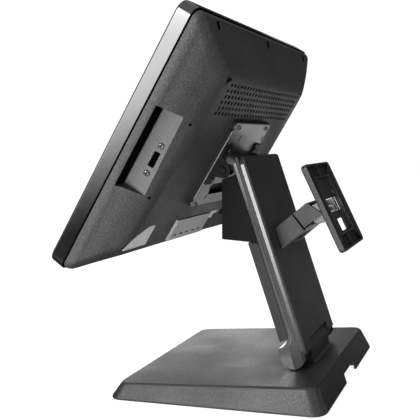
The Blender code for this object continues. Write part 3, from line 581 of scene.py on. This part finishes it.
def build_neck():
    outline = rounded([(2.9, 126.6), (-36.2, 141.9), (-14.4, 204), (2.9, 204)], [0, 1.5, 1.2, 0])
    housing = prism("X", outline, -ARM_HALF, ARM_HALF)
    cut(housing, prism("X", [(8, 126.6), (-33.3, 143.2), (-13, 201.6), (8, 201.6)], -61.5, 61.5))
    placed(housing, "neck_shell", ON_ARM, M_NECK_SHADED, 0.7, replaces="neck_housing")

    for side, sign in (("left", -1), ("right", 1)):
        def span(a, b):
            return sorted((sign * a, sign * b))

        profile = [(6.0, 37), (6.5, 37.5), (6.5, 42), (5.9, 42.3), (5.9, 43), (6.5, 43.3)]
        profile += [(6.5, 51.9), (6.0, 52.4)]
        barrel = lathe("X", TILT_ON_ARM, [(r, sign * t) for r, t in profile])
        foot = [(-13.5, 209.5), (3.0, 209.5), (3.0, 215.8), (-13.5, 217.9)]
        pin = lathe("X", TILT_ON_ARM, [(r, sign * t) for r, t in ((3, 40), (3, 58), (2.4, 58.5))], 24)
        fuse(barrel, prism("X", foot, *span(37.4, 52)), pin)
        placed(barrel, f"tilt_hinge_{side}", ON_ARM, M_HINGE_SHADED, 0.2,
               replaces=f"tilt_barrel_{side}")
        nut = cut(prism("X", disc(4.6, TILT_ON_ARM, 6), *span(56.0, 58.2)),
                  prism("X", disc(3.05, TILT_ON_ARM, 24), *span(50, 59)))
        placed(nut, f"tilt_nut_{side}", ON_ARM, M_HINGE_SHADED, 0.3)


# --- the head -------------------------------------------------------------------------------------

STATIONS = [
    (17.7, 177.1, 177.1, 2.2, 292.8, 10),
    (18.1, 177.6, 177.6, 1.7, 293.3, 10),
    (21.0, 177.2, 177.2, 2.4, 292.9, 10.3),
    (24.0, 176.3, 176.3, 3.7, 291.8, 10.7),
    (27.0, 174.0, 174.3, 6.8, 289.2, 11.5),
    (30.0, 170.5, 171.5, 10.5, 286.0, 12.3),
    (39.8, 160.0, 163.0, 22.0, 273.5, 14),
    (49.5, 145.0, 153.0, 33.0, 261.5, 15),
    (53.0, 138.6, 148.9, 37.2, 256.6, 15),
    (55.2, 133.2, 144.9, 40.8, 252.8, 14.5),
    (56.4, 129.2, 141.8, 43.4, 249.8, 13),
    (56.9, 126.0, 139.0, 45.5, 247.5, 12),
]
SMALL_HOLES = [(143, 194.5), (146, 109.5), (60, 77.6), (172.5, 148.5)]
BLIND_COLUMNS = (0, 6, 10, 11)


def cover_rings(shrink, per):
    rings = []
    for depth, top, bottom, low, high, radius in spline(STATIONS, per):
        corners = [(-bottom + shrink, low + shrink), (bottom - shrink, low + shrink)]
        corners += [(top - shrink, high - shrink), (-top + shrink, high - shrink)]
        rings.append(along("Y", rounded(corners, radius - shrink / 2, 10), depth - shrink))
    return rings


def recess_rings(extra):
    angle = math.radians(RECESS_TURN)
    x = RECESS_X - extra * (1 - math.sin(angle)) / math.cos(angle)
    y = RECESS_Y - extra
    corners = [(x, y), (210, y), (210, 80), (x - math.sin(angle) * 60, y + math.cos(angle) * 60)]
    outline = rounded(corners, [1.2, 0, 0, 0], 4)
    slant = [0] * 5 + [5, 5, 2.5]
    return [[(a, b, 111.5 - s - extra) for (a, b), s in zip(outline, slant)],
            [(a, b, 199 + extra) for a, b in outline]]


def bay_outline(extra):
    points = [(-118, 72.8), (118.5, 72.8), (137.5, 63), (153, 43), (158, -5), (-118, -5)]
    moves = [(-1, 1), (1, 1), (1, 1), (1, 0.5), (1, 0), (-1, 0)]
    corners = [(x + a * extra, y + b * extra) for (x, y), (a, b) in zip(points, moves)]
    return rounded(corners, [2, 6, 12, 12, 0, 0], 5)


def vent_holes(blind):
    """The fine grid across the top of the rear face: six rows, every other one a quarter step across."""
    outlines = []
    for row in range(6):
        z = 211.5 + 6.4 * row
        for column in range(26):
            if (column in BLIND_COLUMNS) == blind:
                x = 111.5 - 8.9 * column - (2.2 if row % 2 else 0)
                outlines.append(rect(x - 2.25, x + 2.25, z - 1.6, z + 1.6, 0.8, 2))
    return outlines


def build_cover():
    cover = body_of(cover_rings(0, 5))
    inside = body_of(cover_rings(WALL, 2))
    cut(inside, body_of(recess_rings(WALL)), prism("Y", bay_outline(WALL), 51.2, 70),
        prism("Y", rect(-118.2, -49.8, -5, 71.2), 32.7, 70),
        prism("Y", [disc(5.2, at, 20) for at in COVER_SCREWS], 0, 70))
    cut(cover, inside)
    cut(cover, body_of(recess_rings(0)))
    cut(cover, prism("Y", bay_outline(0), 53.5, 80))
    cut(cover, prism("Y", rect(-116, -52, -5, 69, 1.5), 34.9, 90))
    cut(cover, prism("Y", vent_holes(False), 52, 60))
    cut(cover, prism("Y", vent_holes(True), 56.0, 60))
    cut(cover, prism("Y", [disc(3.3, at, 28) for at in COVER_SCREWS], 21, 100),
        prism("Y", screw_holes(COVER_SCREWS), 10, 22), prism("Y", screw_holes(PLATE_SCREWS), 48, 62))
    cut(cover, prism("Y", [disc(1.5, at, 20) for at in SMALL_HOLES], 20, 62))
    holes = prism("X", screw_holes(SIDE_SCREWS) + [rect(12.1, 18.3, 139.6, 156.1, 0.4)], -4, 2)
    holes.data.transform(HEAD.inverted() @ PORT)
    cut(cover, holes)
    # Faces are told apart by where they lie. A large face can have its centre inside a small opening.
    unlit, floor, slant, large = [], [], math.sin(math.radians(RECESS_TURN)), 40
    for face in cover.data.polygons:
        x, y, z = face.center
        in_vent = abs(x) < 126 and 52 < y < 56.85 and 205 < z < 250
        in_well = y < 45 and any(math.hypot(x - a, z - b) < 3.4 for a, b in COVER_SCREWS)
        in_hole = any(math.hypot(x - a, z - b) < 1.6 for a, b in SMALL_HOLES)
        in_recess = x > 135 and 25.5 < y < 58 and 100 < z < 199.5
        on_ledge = in_recess and face.normal.y > 0.9 and y < 30
        if on_ledge or (face.area < large and (in_vent or in_well or in_hole)):
            unlit.append(face.index)
        elif in_recess and face.normal.x > 0.9 and abs(face.normal.y - slant) < 0.05:
            floor.append(face.index)
    placed(cover, "cover_shell", ON_HEAD, M_COVER, 0.45, 38,
           replaces="rear_cover", harden=True)
    # Vent holes, screw wells, small holes and the recess ledge are painted with shade.
    second_look(cover, unlit, M_PAINTED_SHADE)
    # The recess floor gets painted light: a lighter copy of the cover plastic.
    second_look(cover, floor, M_RECESS_LIT)
    for index in floor:
        cover.data.polygons[index].use_smooth = False


def bezel_ring(inset, depth):
    half, high = HEAD_HALF - inset, HEAD_HEIGHT - inset
    return along("Y", rect(-half, half, inset, high, 11 - inset * 0.4, 10), depth)


def build_bezel():
    rings = [bezel_ring(2.6 * (1 - math.sin(math.radians(a))), 2.8 * (1 - math.cos(math.radians(a))))
             for a in range(0, 91, 15)]
    rings += [bezel_ring(0, 16.4), bezel_ring(0.12, 16.8), bezel_ring(0.45, 17.15), bezel_ring(0.9, 17.3)]
    bezel = body_of(rings)
    view = [along("Y", rect(-155 - g, 155 + g, MIDDLE - 117 - g, MIDDLE + 117 + g, r), y)
            for g, y, r in ((2.4, -1, 1.5), (1.6, 0, 1.2), (0.9, 0.5, 1), (0.2, 1.8, 0.8), (0, 5, 0.8))]
    cut(bezel, body_of([bezel_ring(2.5, 3), bezel_ring(2.5, 20)]), body_of(view),
        box((143.6, 156.4), (4.6, 11.4), (-5, 5)))
    # The bezel's rear rim, where it meets the cover, gets painted shade.
    rear_edge = [face.index for face in bezel.data.polygons if face.center.y > 16.3]
    placed(bezel, "bezel_shell", ON_HEAD, M_BEZEL, 0.3, replaces="front_bezel")
    second_look(bezel, rear_edge, M_PAINTED_SHADE)

    glass = prism("Y", rect(-162, 162, MIDDLE - 124, MIDDLE + 124, 2), 3.3, 6.3)
    placed(glass, "touch_panel_glass", ON_HEAD, M_GLASS, 0.3, replaces="touch_glass")
    area = prism("Y", rect(-152.2, 152.2, MIDDLE - 114.2, MIDDLE + 114.2), 3.22, 3.4)
    placed(area, "touch_view_area", ON_HEAD, M_VIEW, 0)


def build_button():
    cap = body_of([along("Z", rect(-6 + i, 6 - i, -3 + i, 3 - i, 1.2), z)
                   for i, z in ((0.7, -3.7), (0.25, -3.55), (0, -3.1), (0, 1.5))])
    cut(cap, prism("Z", rect(-2.6, 2.6, -0.35, 0.35, 0.3), -5, -3.4))
    fuse(cap, box((-7.5, 7.5), (-3.9, 3.9), (0.4, 2)))
    placed(cap, "power_key", (BUTTON, "button"), M_SATIN, 0, replaces="power_button")
    lamp = lathe("Z", (9.5, 0), [(0.9, -2.75), (0.9, -1.2)], 20)
    placed(lamp, "power_lamp", (BUTTON, "head"), M_VIEW, 0.2)


def build_plate():
    """The folded plate: a flat face, soft folds, slots and the small cut-outs at its edges."""
    rings = []
    for k in range(6):
        a = math.radians(18 * k)
        rings.append((1.8 * (1 - math.sin(a)), 62.8 - 1.8 * (1 - math.cos(a))))
    outer = [along("Y", rect(-55.5 + i, 55.5 - i, 94 + i, 205.6 - i, 4), y) for i, y in rings]
    plate = body_of(outer + [along("Y", rect(-55.5, 55.5, 94, 205.6, 4), 57.2)])
    window = rounded([(-22, 109), (22, 109), (30, 122), (22, 124), (-22, 124), (-30, 122)], 1.2, 3)
    slots = [slot(2.8, 6.6, at) for at in ((22.7, 185.5), (-49.7, 185.5), (24.6, 106), (-49.7, 106))]
    openings = [window] + slots + screw_holes(PLATE_SCREWS + LEAF_SCREWS)
    cut(plate, prism("Y", rect(-54, 54, 95.5, 204.1, 2.6), 50, 61.3), prism("Y", openings, 60, 70))
    notches = [(57.2, 196.5), (57.2, 103.0), (-57.2, 196.5), (-57.2, 103.0)]
    cut(plate, prism("Y", [rect(x - 3, x + 3, z - 1.8, z + 1.8, 0.6) for x, z in notches], 50, 70))
    # The folded edges get painted shade.
    edges = [face.index for face in plate.data.polygons if abs(face.normal.y) < 0.6]
    placed(plate, "mount_plate", ON_HEAD, M_PLATE, 0.25, replaces="vesa_plate")
    second_look(plate, edges, M_PLATE_EDGE_SHADE)

    for side, sign in (("left", -1), ("right", 1)):
        flat = rect(*sorted((sign * 36, sign * 55.4)), 126, 178, 3)
        leaf = prism("Y", flat, 63.1, 65.1)
        ear = [(63.5, 166)] + arc(8.8, 78, -78, 26, TILT_ON_HEAD) + [(63.5, 138)]
        near, far = sorted((sign * 52.7, sign * 55.3))
        fuse(leaf, prism("X", ear, near, far))
        own = screw_holes([at for at in LEAF_SCREWS if at[0] * sign > 0])
        cut(leaf, prism("X", disc(3.3, TILT_ON_HEAD, 28), near - 1, far + 1), prism("Y", own, 60, 70))
        placed(leaf, f"hinge_leaf_{side}", ON_HEAD, M_HINGE_SHADED, 0.25,
               replaces=f"tilt_leaf_{side}")


def build_ports():
    """The grey port panel, the label, the sockets in the cavity and the socket in the side recess."""
    outline = rounded([(-45, 41), (48, 41), (48, 70.5), (-38, 70.5), (-45, 62)], [1, 1, 1, 2, 2])
    panel = prism("Y", outline, 53.8, 56.7)
    cut(panel, box((-43.8, 46.8), (50, 55.7), (30, 69.3)))
    vents = [rect(x - 5, x + 5, 47, 49.4, 1.1, 3) for x in (-30, -14, 2, 18, 34)]
    cut(panel, prism("Y", vents, 50, 60))
    cut(panel, prism("Y", [disc(1.6, (42, 63), 20), disc(1.6, (-40, 49), 20)], 50, 60))
    placed(panel, "port_panel", ON_HEAD, M_PANEL, 0.25, replaces="io_panel")

    label = rounded([(98, 44), (146, 44), (132, 61), (122, 70), (98, 70)], [0.8, 0.8, 3, 2, 0.8], 4)
    placed(prism("Y", label, 53.8, 54.2), "data_label", ON_HEAD, M_LABEL, 0.08,
           replaces="rating_label")

    at = (-107, 44)
    jack = lathe("Z", at, [(6.2, 55), (6.2, 68.7)], 36)
    cut(jack, lathe("Z", at, [(4.6, 40), (4.6, 65)], 32))
    fuse(jack, lathe("Z", at, [(1.0, 56.5), (1.0, 67)], 16))
    placed(jack, "power_jack", ON_HEAD, M_DARK, 0.3, replaces="power_inlet")

    shell = rounded([(-96.5, 39.6), (-76.5, 39.6), (-78.5, 48.4), (-94.5, 48.4)], 1.6)
    serial = prism("Z", shell, 59, 68.7)
    inner = rounded([(-95.5, 40.4), (-77.5, 40.4), (-79.2, 47.6), (-93.8, 47.6)], 1.3)
    cut(serial, prism("Z", inner, 50, 66))
    placed(serial, "serial_port_shell", ON_HEAD, M_CHROME, 0.2, replaces="serial_socket")
    pins = [lathe("Z", (-91.8 + 2.7 * k + dx, y), [(0.45, 60.5), (0.45, 66.5)], 10)
            for dx, y, count in ((0, 42.6, 5), (1.35, 45.4, 4)) for k in range(count)]
    placed(fuse(pins[0], *pins[1:]), "serial_port_pins", ON_HEAD, M_GOLD, 0)

    net = prism("Z", rect(-72, -56, 37, 51, 0.5), 55, 68.7)
    mouth = [(-69.6, 39), (-58.4, 39), (-58.4, 46.4), (-61, 46.4)]
    mouth += [(-61, 48.6), (-67, 48.6), (-67, 46.4), (-69.6, 46.4)]
    cut(net, prism("Z", mouth, 40, 66))
    placed(net, "network_port_shell", ON_HEAD, M_CHROME, 0.25, replaces="network_socket")
    blades = [box((-67.5 + 1.0 * k, -67.1 + 1.0 * k), (39.2, 40.0), (57, 66.2)) for k in range(8)]
    placed(fuse(blades[0], *blades[1:]), "network_port_contacts", ON_HEAD, M_GOLD, 0)

    socket = box((-8.5, -2.6), (12, 18.4), (140, 155.7))
    cut(socket, box((-7, 0), (13, 17.4), (141.2, 154.5)))
    fuse(socket, box((-7.2, -3.4), (14.7, 15.7), (142.4, 153.3)))
    # The whole socket in the side opening is drawn in the painted-shade black.
    placed(socket, "side_port_body", ON_PORT, M_PAINTED_SHADE, 0.2, replaces="side_port_socket")


# --- screws ---------------------------------------------------------------------------------------


def build_screw(name, node, place, axis, centre, seat, out, head, shank, length):
    """A pan-head screw with a cross recess."""
    tall = head * 0.62
    profile = [(shank, -length), (shank, 0), (head * 0.94, 0), (head, tall * 0.12), (head, tall * 0.3)]
    profile += [(head * math.cos(a), tall * (0.3 + 0.7 * math.sin(a))) for a in (0.35, 0.65, 0.95, 1.2)]
    made = lathe(axis, centre, [(r, seat + out * t) for r, t in profile], 28)
    low, high = sorted((seat + out * tall * 0.3, seat + out * tall * 1.6))
    cut(made, prism(axis, cross(head * 0.62, head * 0.17, centre), low, high))
    # The faces inside the cross recess get painted shade.
    along_axis, recess = "XYZ".index(axis), []
    for face in made.data.polygons:
        across = [value for k, value in enumerate(face.center) if k != along_axis]
        away = math.hypot(across[0] - centre[0], across[1] - centre[1])
        up = (face.center[along_axis] - seat) * out
        if away < head * 0.62 and 0.2 * tall < up < 0.8 * tall:
            recess.append(face.index)
    placed(made, name, place, M_SCREW, 0.08, replaces=node, segments=2)
    second_look(made, recess, M_PAINTED_SHADE)


def build_screws():
    """Every screw: its names, frame, axis, places, seat, side, head and shank radius, and length."""
    bolt_seat = base_top(HINGE_Y) - 3.6
    kinds = (
        ("cover_fixing", "cover_screw", ON_HEAD, "Y", COVER_SCREWS, 21.3, 1, 2.7, 1.4, 4),
        ("plate_fixing", "plate_screw", ON_HEAD, "Y", PLATE_SCREWS, 63.1, 1, 2.7, 1.4, 13),
        ("leaf_fixing", "leaf_screw", ON_HEAD, "Y", LEAF_SCREWS, 65.4, 1, 2.4, 1.4, 4.5),
        ("side_fixing", "side_port_screw", ON_PORT, "X", SIDE_SCREWS, 0.3, 1, 3.1, 1.4, 5),
        ("tray_fixing", "tray_screw", ON_TRAY, "Y", TRAY_SCREWS, 9.2, 1, 2.6, 1.4, 4.2),
        ("foot_bolt", "hinge_bolt", ON_BASE, "Z", BASE_BOLTS, bolt_seat, -1, 4.5, 2.4, 11.5),
    )
    for name, node, place, axis, places, *sizes in kinds:
        for number, at in enumerate(places, 1):
            build_screw(f"{name}_{number}", f"{node}_{number}", place, axis, at, *sizes)


# --- the display bracket --------------------------------------------------------------------------


def build_bracket():
    outline = rounded([(3.9, 10.2), (28.6, 10.2), (28.6, -12), (-4.95, -13.05)], [0.6, 1.0, 0.5, 0.8])
    block = prism("X", outline, -BRACKET_HALF, BRACKET_HALF)
    inside = [(7.5, 7.6), (26.2, 7.6), (26.2, -9.8), (1.2, -9.8)]
    fuse(block, box((-30, 30), (20, 38), (-12.2, -10.3)))
    cut(block, prism("X", inside, -31.5, 31.5), prism("Z", rect(-20, 20, 6, 22, 4), -20, 0))
    for sign in (-1, 1):
        corner = [(sign * 34.5, -14), (sign * 34.5, -10.6), (sign * 31.9, -14)]
        cut(block, body_of([[(x, y, z) for x, z in corner] for y in (-8, 40)]))
    placed(block, "bracket_body", ON_BAR, M_SATIN, 0.45, replaces="bracket_block")

    outline = rounded([(30.4, 10.2), (50.1, 10.2), (56, -9.6), (30.4, -9.6)], [1.0, 2.2, 0.8, 0.6])
    cap = prism("X", outline, -BRACKET_HALF, BRACKET_HALF)
    cut(cap, prism("X", [(32.6, 7.8), (70, 7.8), (70, -20), (32.6, -20)], -31.5, 31.5))
    placed(cap, "bracket_hood", ON_BAR, M_SATIN, 0.45, replaces="bracket_cap")

    profile = [(3.7, -21), (4.3, -20.4), (4.3, -16), (3.8, -15.7), (3.8, -14.9), (4.3, -14.6)]
    barrel = lathe("X", TRAY_AXIS, profile + [(r, -t) for r, t in reversed(profile)], 36)
    strap = box((-18, 18), (32.9, 50), (-5.6, -3.8))
    pin = lathe("X", TRAY_AXIS, [(1.6, -31.2), (2, -30.8), (2, 30.8), (1.6, 31.2)], 24)
    fuse(barrel, strap, pin)
    placed(barrel, "bracket_hinge", ON_BAR, M_CHROME, 0.2, replaces="tray_hinge_barrel")
    for side, sign in (("left", -1), ("right", 1)):
        profile = [(3.4, 22.0), (3.9, 22.4), (3.9, 24.4), (3.4, 24.8)]
        washer = cut(lathe("X", TRAY_AXIS, [(r, sign * t) for r, t in profile], 32),
                     prism("X", disc(2.05, TRAY_AXIS, 24), *sorted((sign * 21.5, sign * 25.5))))
        placed(washer, f"bracket_washer_{side}", ON_BAR, M_CHROME, 0)


def build_tray():
    low, high, half = -48.0, 52.5, 49.0

    def ring(inset, depth):
        outline = rect(-half + inset, half - inset, low + inset, high - inset, max(1.2, 5 - inset), 8)
        return along("Y", outline, depth)

    steps = [(1.6, 6.9), (1.0, 7.15), (0.45, 7.7), (0.1, 8.4), (0, 9.0), (0, 13.1), (0.2, 13.4)]
    tray = body_of([ring(inset, depth) for inset, depth in steps + [(0.5, 13.5)]])
    cut(tray, body_of([ring(1.9, 8.9), ring(1.9, 20)]))
    walls = []

    def rib(x0, z0, x1, z1, top, thick=1.5):
        a, b = Vector((x0, z0)), Vector((x1, z1))
        side = (b - a).normalized().orthogonal() * thick / 2
        outline = [tuple(a + side), tuple(b + side), tuple(b - side), tuple(a - side)]
        walls.append(prism("Y", outline, 8.0, top))

    x, top_z, low_z = 32.1, 36.9, -30.9
    for sign in (-1, 1):
        rib(sign * x, low_z - 0.7, sign * x, top_z + 0.7, 12.6)
        rib(sign * 38.5, low_z + 3, sign * 38.5, top_z - 3, 11.2, 1.1)
        rib(sign * x, top_z, sign * 47.5, high - 2, 12.2, 1.3)
        rib(sign * x, low_z, sign * 47.5, low + 2, 12.2, 1.3)
    for z in (top_z, low_z):
        rib(-x - 0.7, z, x + 0.7, z, 12.6)
    for rib_x, top in ((-6.5, 10.6), (2.1, 12.2)):
        rib(rib_x, top_z, rib_x, high - 1.5, top, 1.4)
        rib(rib_x, low + 1.5, rib_x, low_z, top, 1.4)
    rib(-31.5, 13.2, 18, 13.2, 10.6, 1.2)
    fuse(tray, *walls)
    windows = [rect(-31, 15, -5, 11, 1), rect(-18.5, 6, -28, -13.7, 1)]
    cut(tray, prism("Y", windows, 0, 20), prism("Y", screw_holes(TRAY_SCREWS), 0, 20))
    placed(tray, "display_tray_shell", ON_TRAY, M_SATIN, 0.2, replaces="display_tray")

    leaf = prism("Y", rect(-31, 31, -10.5, 21.5, 3), 5.0, 6.6)
    ear = [(6.2, 10.4)] + arc(11.2, 68, 292, 44) + [(6.2, -10.4)]
    ears = [prism("X", ear, *sorted((sign * 28.2, sign * 30.9))) for sign in (-1, 1)]
    fuse(leaf, *ears)
    cut(leaf, prism("X", disc(2.3, steps=28), -40, 40), prism("Y", rect(-25, 25, -8, 12, 1.5), 0, 20),
        prism("Y", screw_holes(TRAY_SCREWS), 0, 20))
    placed(leaf, "tray_hinge_plate", ON_TRAY, M_STEEL, 0.25, replaces="tray_hinge_leaf")


# --- what is inside -------------------------------------------------------------------------------


def finish_cad(names, material, bevel):
    """A CAD node that stays gets its material and rounded edges."""
    for name in names:
        node = CAD[name]
        node.data.materials.clear()
        node.data.materials.append(material)
        weld = node.modifiers.new("weld", "WELD")
        weld.merge_threshold = 0.000002
        flat = node.modifiers.new("flat", "DECIMATE")
        flat.decimate_type = "DISSOLVE"
        flat.angle_limit = math.radians(1)
        edges = node.modifiers.new("edges", "BEVEL")
        edges.width = bevel * 0.001
        edges.segments = 2
        edges.limit_method = "ANGLE"
        edges.angle_limit = math.radians(35)


def build_inside():
    finish_cad(["lcd_panel", "panel_chassis", "base_weight_plate"], M_SHEET, 0.3)
    finish_cad(["motherboard"], M_BOARD, 0.2)
    finish_cad(["heat_sink", "storage_drive"], M_TRIM, 0.3)
    finish_cad(["speaker"], M_DARK, 0.4)


# --- the studio -----------------------------------------------------------------------------------


def heading(azimuth, elevation=0.0):
    """The direction out to a compass point: 0 is in front of the screen, 90 at its +X side."""
    a, e = math.radians(azimuth), math.radians(elevation)
    return Vector((math.sin(a) * math.cos(e), -math.cos(a) * math.cos(e), math.sin(e)))


def soft_panel(name, azimuth, distance, width, low, high, stops):
    """An upright panel that only reflections see. Its stops are (height, light)."""
    out, across = heading(azimuth), heading(azimuth + 90)
    points = [out * distance + across * side * width / 2 + Vector((0, 0, height))
              for side, height in ((-1, low), (1, low), (1, high), (-1, high))]
    mesh = bpy.data.meshes.new(name)
    mesh.from_pydata(points, [], [(0, 1, 2, 3)])
    panel = new_object(name, mesh)
    material = bpy.data.materials.new(name)
    material.use_nodes = True
    nodes, links = material.node_tree.nodes, material.node_tree.links
    nodes.clear()
    place = nodes.new("ShaderNodeTexCoord")
    split = nodes.new("ShaderNodeSeparateXYZ")
    ramp = nodes.new("ShaderNodeFloatCurve")
    reach = nodes.new("ShaderNodeMapRange")
    set_range(reach, low, high, 0, 1)
    brightest = max(value for _, value in stops)
    marks = [((height - low) / (high - low), value / brightest) for height, value in stops]
    line = ramp.mapping.curves[0]
    line.points[0].location, line.points[1].location = marks[0], marks[-1]
    for mark in marks[1:-1]:
        line.points.new(*mark)
    ramp.mapping.update()
    strength = add_node(nodes, "ShaderNodeMath", operation="MULTIPLY")
    strength.inputs[1].default_value = brightest
    glow = nodes.new("ShaderNodeEmission")
    out_node = nodes.new("ShaderNodeOutputMaterial")
    links.new(place.outputs["Object"], split.inputs[0])
    links.new(split.outputs["Z"], reach.inputs["Value"])
    links.new(reach.outputs["Result"], ramp.inputs["Value"])
    links.new(ramp.outputs["Value"], strength.inputs[0])
    links.new(strength.outputs[0], glow.inputs["Strength"])
    links.new(glow.outputs[0], out_node.inputs["Surface"])
    mesh.materials.append(material)
    panel.visible_camera = panel.visible_shadow = panel.visible_diffuse = False


def soft_box(name, azimuth, elevation, distance, width, height, power, reflected=True):
    """A large soft lamp that looks at the object's middle."""
    data = bpy.data.lights.new(name, "AREA")
    data.shape = "RECTANGLE"
    data.size, data.size_y = width, height
    data.energy = power
    lamp = new_object(name, data)
    target, out = Vector((0, 0, 0.2)), heading(azimuth, elevation)
    lamp.location = target + out * distance
    lamp.rotation_euler = out.to_track_quat("Z", "Y").to_euler()
    lamp.visible_glossy = reflected


def build_floor():
    """A plain pale floor that melts into the white backdrop and keeps only a faint contact shadow."""
    mesh = bpy.data.meshes.new("floor")
    corners = along("Z", rect(-12, 12, -12, 12), 0)
    mesh.from_pydata(corners, [], [(0, 1, 2, 3)])
    floor = new_object("floor", mesh)
    g = Graph("floor_paint")
    g.shade(g.mix(g.noise(3, 4), (0.28, 0.28, 0.28), (0.3, 0.3, 0.3)), "Base Color")
    g.level("Roughness", 0.9)
    g.level("Specular IOR Level", 0.0)
    g.level("Emission Color", WHITE)
    g.level("Emission Strength", 0.93)
    mesh.materials.append(g.material)
    floor.visible_glossy = floor.visible_diffuse = floor.visible_shadow = False


def build_world():
    """White to the camera, and to all other rays a dim room, lighter overhead and on the +X side."""
    world = bpy.data.worlds.new("studio")
    bpy.context.scene.world = world
    world.use_nodes = True
    nodes, links = world.node_tree.nodes, world.node_tree.links
    nodes.clear()
    out = nodes.new("ShaderNodeOutputWorld")
    path = nodes.new("ShaderNodeLightPath")
    seen = add_node(nodes, "ShaderNodeBackground", Color=WHITE, Strength=1.05)
    fill = add_node(nodes, "ShaderNodeBackground", Color=WHITE)
    place = nodes.new("ShaderNodeTexCoord")
    total = None
    washes = (((0, 0, 1), 0.3, 0.95, 0.025, 0.45), (heading(80, 8), 0.2, 0.95, 0.0, 0.3))
    for direction, *reach in washes:
        dot = add_node(nodes, "ShaderNodeVectorMath", operation="DOT_PRODUCT")
        dot.inputs[1].default_value = direction
        ramp = add_node(nodes, "ShaderNodeMapRange", interpolation_type="SMOOTHSTEP")
        set_range(ramp, *reach)
        links.new(place.outputs["Generated"], dot.inputs[0])
        links.new(dot.outputs["Value"], ramp.inputs["Value"])
        if total is None:
            total = ramp.outputs["Result"]
        else:
            add = nodes.new("ShaderNodeMath")
            links.new(total, add.inputs[0])
            links.new(ramp.outputs["Result"], add.inputs[1])
            total = add.outputs[0]
    links.new(total, fill.inputs["Strength"])
    mixed = nodes.new("ShaderNodeMixShader")
    links.new(path.outputs["Is Camera Ray"], mixed.inputs[0])
    links.new(fill.outputs[0], mixed.inputs[1])
    links.new(seen.outputs[0], mixed.inputs[2])
    links.new(mixed.outputs[0], out.inputs["Surface"])


def build_studio():
    view = bpy.context.scene.view_settings
    view.view_transform = "Standard"
    view.look = "None"
    build_floor()
    build_world()
    soft_panel("panel_side", 60, 1.6, 1.1, -0.05, 1.2,
               [(-0.05, 0.0), (0.1, 0.06), (0.2, 0.65), (0.35, 2.5), (0.5, 4.6), (0.7, 5.6), (0.9, 4.0),
                (1.2, 0.0)])
    soft_panel("panel_far", 296, 1.5, 1.7, 0.0, 0.6, [(0, 2.6), (0.3, 2.4), (0.42, 1.5), (0.6, 0.0)])
    soft_panel("panel_left", 271, 1.5, 0.8, -1.1, 0.8,
               [(-1.1, 0.5), (-0.6, 0.55), (-0.4, 0.3), (-0.15, 1.2), (0.05, 0.8), (0.2, 0.35), (0.8, 0.12)])
    soft_panel("panel_ridge", 206, 1.5, 0.24, -0.45, 0.2,
               [(-0.45, 0.0), (-0.25, 5.5), (0.0, 5.5), (0.2, 0.0)])
    soft_panel("panel_rear", 157, 1.6, 0.35, 0.1, 1.3, [(0.1, 0.2), (0.3, 1.0), (0.6, 3.0), (1.3, 3.0)])
    soft_box("box_side", 68, 16, 1.7, 1.2, 1.0, 29)
    soft_box("box_low", 106, -32, 1.6, 1.2, 1.0, 21)
    soft_box("box_top", 20, 78, 1.6, 1.5, 1.5, 18, reflected=False)


def build_camera():
    back, roll = heading(114.611, 4.26), math.radians(-4.667)
    right = (-back).cross(Vector((0, 0, 1))).normalized()
    up = right.cross(-back)
    across = right * math.cos(roll) + up * math.sin(roll)
    upright = up * math.cos(roll) - right * math.sin(roll)
    data = bpy.data.cameras.new("camera")
    data.lens = 55.88
    data.sensor_width = 36
    data.clip_start = 0.02
    camera = new_object("camera", data)
    facing = Matrix((across, upright, back)).transposed().to_4x4()
    camera.matrix_world = shift(0.715, 0.2938, 0.256) @ facing
    bpy.context.scene.camera = camera


build_base()
build_foot()
build_arm()
build_neck()
build_cover()
build_bezel()
build_button()
build_plate()
build_ports()
build_screws()
build_bracket()
build_tray()
build_inside()
build_studio()
build_camera()

bpy.context.view_layer.update()
